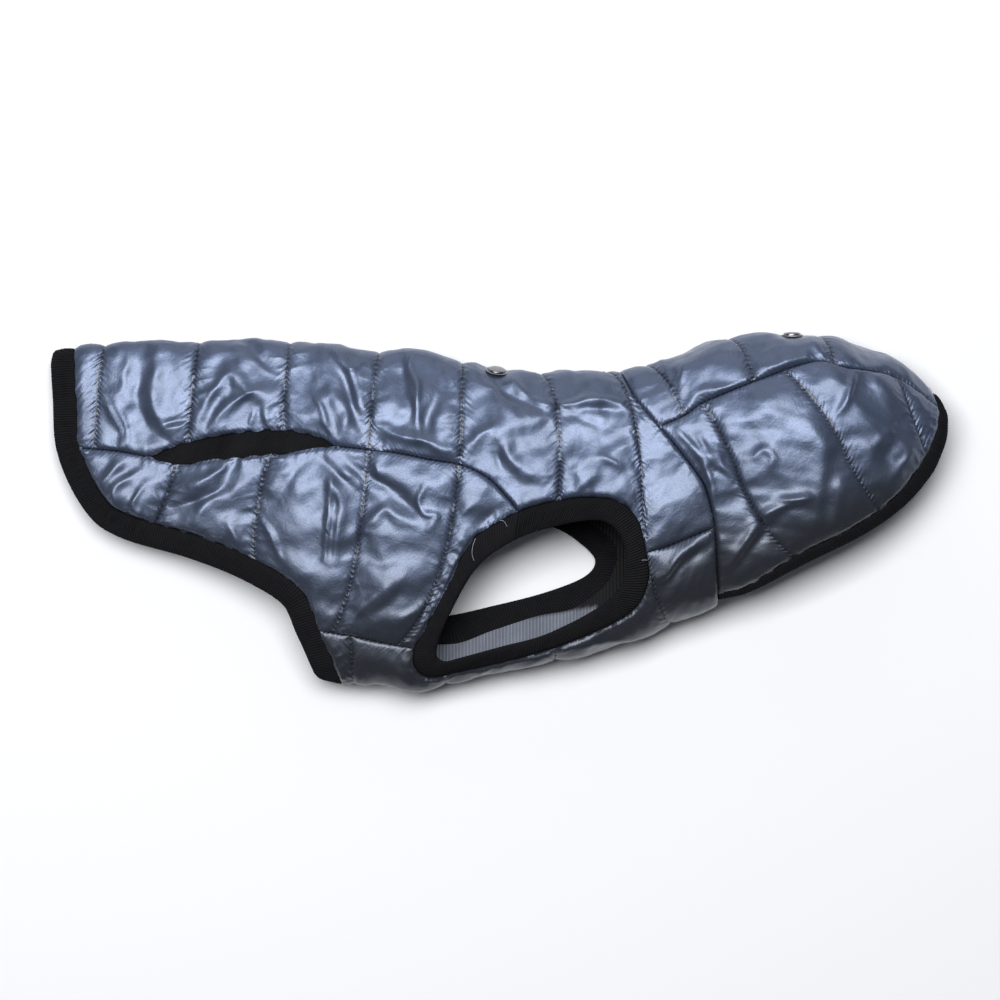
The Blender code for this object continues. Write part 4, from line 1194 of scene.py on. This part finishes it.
def shadeOf(tree, label):
    # A number that the mesh holds for each of its points.
    return addNode(tree, "ShaderNodeAttribute", {}, attribute_name=label).outputs["Fac"]


def clothPlace(tree):
    return addNode(tree, "ShaderNodeUVMap", {}, uv_map="Cloth").outputs[0]


def solidPlace(tree):
    return addNode(tree, "ShaderNodeTexCoord", {}).outputs["Object"]


def newGroup(name, inputs, outputs):
    # Every group reads a place. An output is a colour if its name says so.
    group = bpy.data.node_groups.new(name, "ShaderNodeTree")
    group.interface.new_socket(name="Place", in_out="INPUT", socket_type="NodeSocketVector")
    for label, value in inputs.items():
        kind = "NodeSocketColor" if isinstance(value, tuple) else "NodeSocketFloat"
        group.interface.new_socket(name=label, in_out="INPUT", socket_type=kind).default_value = value
    for label in outputs:
        kind = "NodeSocketColor" if label == "Color" else "NodeSocketFloat"
        group.interface.new_socket(name=label, in_out="OUTPUT", socket_type=kind)
    return group, group.nodes.new("NodeGroupInput").outputs, group.nodes.new("NodeGroupOutput")


def mottled(dark, light, patches, grains, grain):
    return {
        "Dark": (*dark, 1),
        "Light": (*light, 1),
        "Patch Scale": patches,
        "Grain Scale": grains,
        "Grain": grain,
    }


def makeMottle():
    # Uneven colour over a surface: two noises between a darker and a lighter shade.
    inputs = mottled((0, 0, 0), (1, 1, 1), patches=60.0, grains=2000.0, grain=0.3)
    group, given, made = newGroup("mottled cloth", inputs, ("Color", "Mask"))
    patches = addNoise(group, given["Place"], given["Patch Scale"], Detail=3.0, Roughness=0.6)
    grains = addNoise(group, given["Place"], given["Grain Scale"], Detail=1.0, Roughness=0.5)
    lower = calc(group, "MULTIPLY", given["Grain"], -0.5)
    grains = calc(group, "MULTIPLY_ADD", grains, given["Grain"], lower)
    mask = clamped(group, calc(group, "ADD", patches, grains))
    setSockets(group, made, {"Color": mixColours(group, mask, given["Dark"], given["Light"]), "Mask": mask})
    return group


def cosineOf(tree, along, pitch):
    turn = calc(tree, "MULTIPLY", calc(tree, "DIVIDE", along, pitch), 2 * math.pi)
    return calc(tree, "COSINE", turn)


def makeKnit():
    # Ribs that run across a band, broken up by loops and fuzz.
    inputs = {"Pitch": 0.0012, "Fuzz Scale": 1500.0, "Fuzz": 0.5}
    group, given, made = newGroup("rib knit", inputs, ("Height", "Rib"))
    along, across, _ = splitPlace(group, given["Place"])
    rib = calc(group, "MULTIPLY_ADD", cosineOf(group, along, given["Pitch"]), 0.5, 0.5)
    loops = cosineOf(group, across, calc(group, "MULTIPLY", given["Pitch"], 0.6))
    bead = calc(group, "MULTIPLY_ADD", loops, 0.2, 0.8)
    fuzz = addNoise(group, given["Place"], given["Fuzz Scale"], Detail=2.0, Roughness=0.7)
    height = calc(group, "MULTIPLY_ADD", fuzz, given["Fuzz"], calc(group, "MULTIPLY", rib, bead))
    setSockets(group, made, {"Height": height, "Rib": rib})
    return group


def makeWeave():
    # Fine plain weave with small crumples in it.
    inputs = {"Crumple Scale": 160.0, "Crumple": 1.0, "Thread Scale": 1800.0, "Thread": 0.2}
    group, given, made = newGroup("fine weave", inputs, ("Height",))
    look = {"Detail": 3.5, "Roughness": 0.5, "Distortion": 0.6}
    crumple = addNoise(group, given["Place"], given["Crumple Scale"], **look)
    threads = []
    for squash in ((1.0, 0.6, 1.0), (0.6, 1.0, 1.0)):
        values = {0: given["Place"], 1: squash}
        spot = addNode(group, "ShaderNodeVectorMath", values, operation="MULTIPLY").outputs[0]
        threads.append(addNoise(group, spot, given["Thread Scale"], Detail=0.0))
    raised = calc(group, "MULTIPLY", calc(group, "ADD", *threads), given["Thread"])
    height = calc(group, "MULTIPLY_ADD", crumple, given["Crumple"], raised)
    setSockets(group, made, {"Height": height})
    return group


# The finest crinkles beside the stitches, which are bump, and the painted shade in them
crinkles = {
    # Pitch and Reach are in mm, and so is the width of the painted shade line at the stitches
    "inputs": {"Pitch": 2.4, "Slant": 0.9, "Reach": 1.3, "Stitch Shade": 0.9},
    "wobbleScale": 200.0,
    "wobble": 2.6,  # how unevenly they are spaced
    "loudScale": 300.0,
    "loud": (3.0, -0.6),  # how their height follows the noise
    "gaps": (-0.35, 0.65),  # how the dark line beside the stitches, partly the real needle holes and partly painted shade, is broken up
    "creaseFrom": -0.2,  # the hollows deeper than this get painted shade
    "creaseShade": 0.45,
}


def makeGathers():
    # Fine crinkles that slant away from the stitched lines, and painted shade in the creases between them
    # and along the stitches.
    group, given, made = newGroup("stitch gathers", crinkles["inputs"], ("Height", "Stitch Shade"))
    away, run = shadeOf(group, "fromStitch"), shadeOf(group, "alongStitch")
    wobble = addNoise(group, given["Place"], crinkles["wobbleScale"], Detail=1.0)
    loud = addNoise(group, given["Place"], crinkles["loudScale"], Detail=1.0)
    step = calc(group, "MULTIPLY_ADD", away, given["Slant"], run)
    step = calc(group, "MULTIPLY_ADD", wobble, crinkles["wobble"], step)
    turn = cosineOf(group, step, given["Pitch"])
    behind = calc(group, "MULTIPLY", away, -1.0)
    fade = calc(group, "EXPONENT", calc(group, "DIVIDE", behind, given["Reach"]))
    louder = calc(group, "MULTIPLY_ADD", loud, *crinkles["loud"])
    rise = calc(group, "MULTIPLY", calc(group, "MULTIPLY", turn, fade), louder)
    near = calc(group, "DIVIDE", away, given["Stitch Shade"])
    squared = calc(group, "MULTIPLY", near, near)
    line = calc(group, "EXPONENT", calc(group, "MULTIPLY", squared, -1.0))
    broken = calc(group, "MULTIPLY", line, calc(group, "MULTIPLY_ADD", turn, *crinkles["gaps"]))
    hollow = calc(group, "MAXIMUM", calc(group, "SUBTRACT", crinkles["creaseFrom"], rise), 0.0)
    creased = calc(group, "MULTIPLY", hollow, crinkles["creaseShade"])
    dark = clamped(group, calc(group, "ADD", broken, creased))
    setSockets(group, made, {"Height": rise, "Stitch Shade": dark})
    return group


def newFinish(name):
    material = bpy.data.materials.new(name)
    material.use_nodes = True
    return material, material.node_tree, material.node_tree.nodes["Principled BSDF"]


def useGroup(tree, group, place, values):
    node = tree.nodes.new("ShaderNodeGroup")
    node.node_tree = group
    setSockets(tree, node, {"Place": place, **values})
    return node.outputs


def addBump(tree, height, distance):
    values = {"Height": height, "Distance": distance, "Strength": 1.0}
    return addNode(tree, "ShaderNodeBump", values).outputs[0]


shellFinish = {
    "colour": mottled((0.077, 0.101, 0.160), (0.118, 0.152, 0.236), patches=45.0, grains=1300.0, grain=0.9),
    "weave": {"Crumple Scale": 260.0, "Crumple": 1.0, "Thread Scale": 1500.0, "Thread": 0.12},
    "belowShadeTint": (0.58, 0.51, 0.41, 1),  # painted shade and painted brown floor reflection, multiplied in low on the belly side
    # painted shade in the stitch crinkles and crease hollows, and the darker needle holes at the stitches
    "stitchShadeColour": (0.025, 0.029, 0.040, 1),
    "grooveShade": 0.75,
    "crumpleDepth": 0.00022,
    "gatherDepth": 0.85,  # against the crumples' depth
    "roughest": 0.53,
    "smoothest": 0.38,
    "shader": {"Metallic": 0.75, "Coat Weight": 0.45, "Coat Roughness": 0.24},
}
liningFinish = {
    "colour": mottled((0.17, 0.19, 0.235), (0.36, 0.385, 0.46), patches=80.0, grains=1200.0, grain=0.4),
    "knit": {"Pitch": 0.0017, "Fuzz Scale": 1500.0, "Fuzz": 0.3},
    "facing": (0.006, 0.006, 0.007, 1),
    # painted shade in the hollows between the lining's ribs
    "between": (0.05, 0.057, 0.075, 1),
    "ribShadeShare": 0.55,
    "ribDepth": 0.0008,
    "shader": {"Roughness": 0.8, "Metallic": 0.0},
}
ribFinish = {
    "colour": mottled((0.003, 0.003, 0.0035), (0.013, 0.013, 0.015), patches=200, grains=2200, grain=1.0),
    "knit": {"Pitch": 0.00125, "Fuzz Scale": 2000.0, "Fuzz": 0.8},
    # painted highlight on the tops of the ribs
    "top": (0.024, 0.024, 0.026, 1),
    "ribHighlightShare": 0.5,
    "ribDepth": 0.0003,
    "shader": {"Roughness": 0.92, "Metallic": 0.0, "Specular IOR Level": 0.06},
}
threadFinish = {
    "colour": mottled((0.012, 0.013, 0.02), (0.03, 0.034, 0.05), patches=300.0, grains=3000.0, grain=0.8),
    "shader": {"Roughness": 0.7, "Metallic": 0.0},
}
looseFinish = {
    "colour": mottled((0.30, 0.31, 0.34), (0.55, 0.56, 0.60), patches=300.0, grains=3000.0, grain=0.8),
    "shader": {"Roughness": 0.7, "Metallic": 0.0},
}
snapFinish = {
    "colour": mottled((0.17, 0.17, 0.175), (0.36, 0.36, 0.365), patches=400.0, grains=2500.0, grain=0.5),
    "shader": {"Roughness": 0.3, "Metallic": 1.0},
}


def makeShellFinish(mottle, weave, gathers):
    material, tree, shader = newFinish("silver quilted nylon")
    place = clothPlace(tree)
    colour = useGroup(tree, mottle, place, shellFinish["colour"])
    cloth = useGroup(tree, weave, place, shellFinish["weave"])
    gloss = {"Value": colour["Mask"], "To Min": shellFinish["roughest"], "To Max": shellFinish["smoothest"]}
    rough = addNode(tree, "ShaderNodeMapRange", gloss).outputs[0]
    # Painted shade and painted brown floor reflection low on the belly side
    shadedBelow = mixColours(tree, shadeOf(tree, "belowShade"), colour["Color"], shellFinish["belowShadeTint"], "MULTIPLY")
    sewn = useGroup(tree, gathers, place, {})
    # Painted shade along the stitches and in the crinkles' hollows, partly the real needle holes
    share = calc(tree, "MULTIPLY", sewn["Stitch Shade"], shellFinish["grooveShade"])
    shaded = mixColours(tree, share, shadedBelow, shellFinish["stitchShadeColour"])
    height = calc(tree, "MULTIPLY_ADD", sewn["Height"], shellFinish["gatherDepth"], cloth["Height"])
    bump = addBump(tree, height, shellFinish["crumpleDepth"])
    setSockets(tree, shader, {"Base Color": shaded, "Roughness": rough, "Normal": bump})
    setSockets(tree, shader, shellFinish["shader"])
    finishes["shell"] = material


def makeLiningFinish(mottle, knit):
    material, tree, shader = newFinish("ribbed grey lining")
    place = clothPlace(tree)
    colour = useGroup(tree, mottle, place, liningFinish["colour"])
    ribs = useGroup(tree, knit, place, liningFinish["knit"])
    # Painted shade in the hollows between the ribs
    share = liningFinish["ribShadeShare"]
    hollow = calc(tree, "MULTIPLY_ADD", ribs["Rib"], -share, share)
    ribbed = mixColours(tree, hollow, colour["Color"], liningFinish["between"])
    faced = mixColours(tree, shadeOf(tree, "faced"), ribbed, liningFinish["facing"])
    bump = addBump(tree, ribs["Height"], liningFinish["ribDepth"])
    setSockets(tree, shader, {"Base Color": faced, "Normal": bump, **liningFinish["shader"]})
    finishes["lining"] = material


def makeRibFinish(mottle, knit):
    material, tree, shader = newFinish("black rib knit")
    place = clothPlace(tree)
    colour = useGroup(tree, mottle, place, ribFinish["colour"])
    ribs = useGroup(tree, knit, place, ribFinish["knit"])
    # Painted highlight on the tops of the ribs
    share = calc(tree, "MULTIPLY", ribs["Rib"], ribFinish["ribHighlightShare"])
    litRibTops = mixColours(tree, share, colour["Color"], ribFinish["top"])
    bump = addBump(tree, ribs["Height"], ribFinish["ribDepth"])
    setSockets(tree, shader, {"Base Color": litRibTops, "Normal": bump, **ribFinish["shader"]})
    finishes["rib"] = material


def makeFinishes():
    mottle, knit, weave, gathers = makeMottle(), makeKnit(), makeWeave(), makeGathers()
    makeShellFinish(mottle, weave, gathers)
    makeLiningFinish(mottle, knit)
    makeRibFinish(mottle, knit)
    for key, name, values in (
        ("thread", "dark sewing thread", threadFinish),
        ("looseThread", "pale sewing thread", looseFinish),
        ("snap", "gunmetal snap", snapFinish),
    ):
        material, tree, shader = newFinish(name)
        colour = useGroup(tree, mottle, solidPlace(tree), values["colour"])
        setSockets(tree, shader, {"Base Color": colour["Color"], **values["shader"]})
        finishes[key] = material
    print(f"finishes: {', '.join(finishes)}")


def unrolled(places):
    # The lower side's places as turns from 180 to 360, on from the upper side's at the belly fold.
    return np.stack([places[..., 0], 360 - places[..., 1]], -1)


def makeCoat():
    near = halfGrids(False)
    far = halfGrids(True, near["belly"][1][1])
    for name, key, creases, seed in (
        ("back_panel", "back", backCreases, 1),
        ("hood_crown", "crown", crownCreases, 1001),
        ("belly_panel", "belly", bellyCreases, 2001),
    ):
        half, lines, sewn = near[key]
        other, _, otherSewn = far[key]
        if key == "belly":
            places = np.concatenate([half, unrolled(other)[:, -2::-1]], 1)
        else:
            places = np.concatenate([half[:, ::-1], mirrored(other)[:, 1:]], 1)
        both = sewn + [(kind, mirrored(line)) for kind, line in otherSewn]
        makeShell(name, places, lines, both, creases, seed)
    for name, key, creases, seeds in (
        ("side_panel", "side", sideCreases, (5001, 7001)),
        ("hood_side", "hood", hoodCreases, (6001, 8001)),
    ):
        makeShell(name + "_near", *near[key], creases, seeds[0])
        places, lines, sewn = far[key]
        sewn = [(kind, mirrored(line)) for kind, line in sewn]
        makeShell(name + "_far", mirrored(places), lines, sewn, creases, seeds[1])
    hem = np.concatenate([near["hem"], unrolled(far["hem"])[-2:0:-1]])
    makeEdgeBand("hem_binding", hem, band["hemWidth"], True, 31)
    face = np.concatenate([near["face"], mirrored(far["face"])[-2::-1]])
    makeEdgeBand("face_binding", face, band["faceWidth"], False, 32)
    for side, half, drawn, seed in (("near", near, nearSide, 41), ("far", far, farSide, 51)):
        lower = side == "far"
        hole = *half["leg"], drawn["opening"], drawn["openingCorners"]
        makeLegBand(f"leg_binding_{side}", *hole, lower, seed)
        makeInsert(f"rib_insert_{side}", *half["insert"], lower, seed + 1)
    for name, place in snapPlaces:
        makeSnap(name, place)
    makeStitches()
    makeLooseEnds()


# Room
view = {"place": (0.001, 0.005, 1.82), "lens": 129.6, "sensor": 36}
room = {
    "floorColour": (0.93, 0.93, 0.93, 1),
    "floorRough": 0.9,
    "floorSize": 6.0,
    # each panel light's power, place, width, depth and colour
    "panels": {
        "key": (48.0, (-0.25, 0.52, 1.88), 1.9, 0.9, (0.97, 0.98, 1.0)),
        "back": (8.0, (0.0, 2.6, 0.9), 2.4, 1.2, (1, 0.96, 0.97)),
    },
    "worldTop": (0.10, 0.11, 0.13, 1),
    "worldLow": (0.055, 0.046, 0.042, 1),
    "worldLean": 0.6,  # how much the pale part of the world leans to the back
    "worldFrom": -0.3,
}


def makeRoom():
    camera = bpy.data.cameras.new("view")
    camera.sensor_width, camera.lens = view["sensor"], view["lens"]
    placed = bpy.data.objects.new("view", camera)
    placed.location = view["place"]
    bpy.context.scene.collection.objects.link(placed)
    bpy.context.scene.camera = placed
    bpy.context.scene.view_settings.view_transform = "Standard"

    half = room["floorSize"] / 2
    corners = [(-half, -half, 0), (half, -half, 0), (half, half, 0), (-half, half, 0)]
    mesh = bpy.data.meshes.new("floor")
    mesh.from_pydata(corners, [], [(0, 1, 2, 3)])
    floor = bpy.data.objects.new("floor", mesh)
    bpy.context.scene.collection.objects.link(floor)
    material, tree, shader = newFinish("pale floor")
    setSockets(tree, shader, {"Base Color": room["floorColour"], "Roughness": room["floorRough"]})
    mesh.materials.append(material)

    for name, (power, place, wide, deep, colour) in room["panels"].items():
        light = bpy.data.lights.new(name, "AREA")
        light.shape, light.energy, light.color = "RECTANGLE", power, colour
        light.size, light.size_y = wide, deep
        panel = bpy.data.objects.new(name, light)
        panel.location = place
        panel.rotation_euler = Vector(place).to_track_quat("Z", "Y").to_euler()
        bpy.context.scene.collection.objects.link(panel)

    world = bpy.data.worlds.new("room")
    world.use_nodes = True
    bpy.context.scene.world = world
    tree = world.node_tree
    _, back, up = splitPlace(tree, addNode(tree, "ShaderNodeTexCoord", {}).outputs["Generated"])
    lean = calc(tree, "ADD", calc(tree, "MULTIPLY", back, room["worldLean"]), up)
    blend = addNode(tree, "ShaderNodeMapRange", {"Value": lean, "From Min": room["worldFrom"]}).outputs[0]
    colour = mixColours(tree, blend, room["worldLow"], room["worldTop"])
    setSockets(tree, tree.nodes["Background"], {"Color": colour})
    print("room: camera, floor, lights and world")


makeRoom()
makeFinishes()
makeCoat()
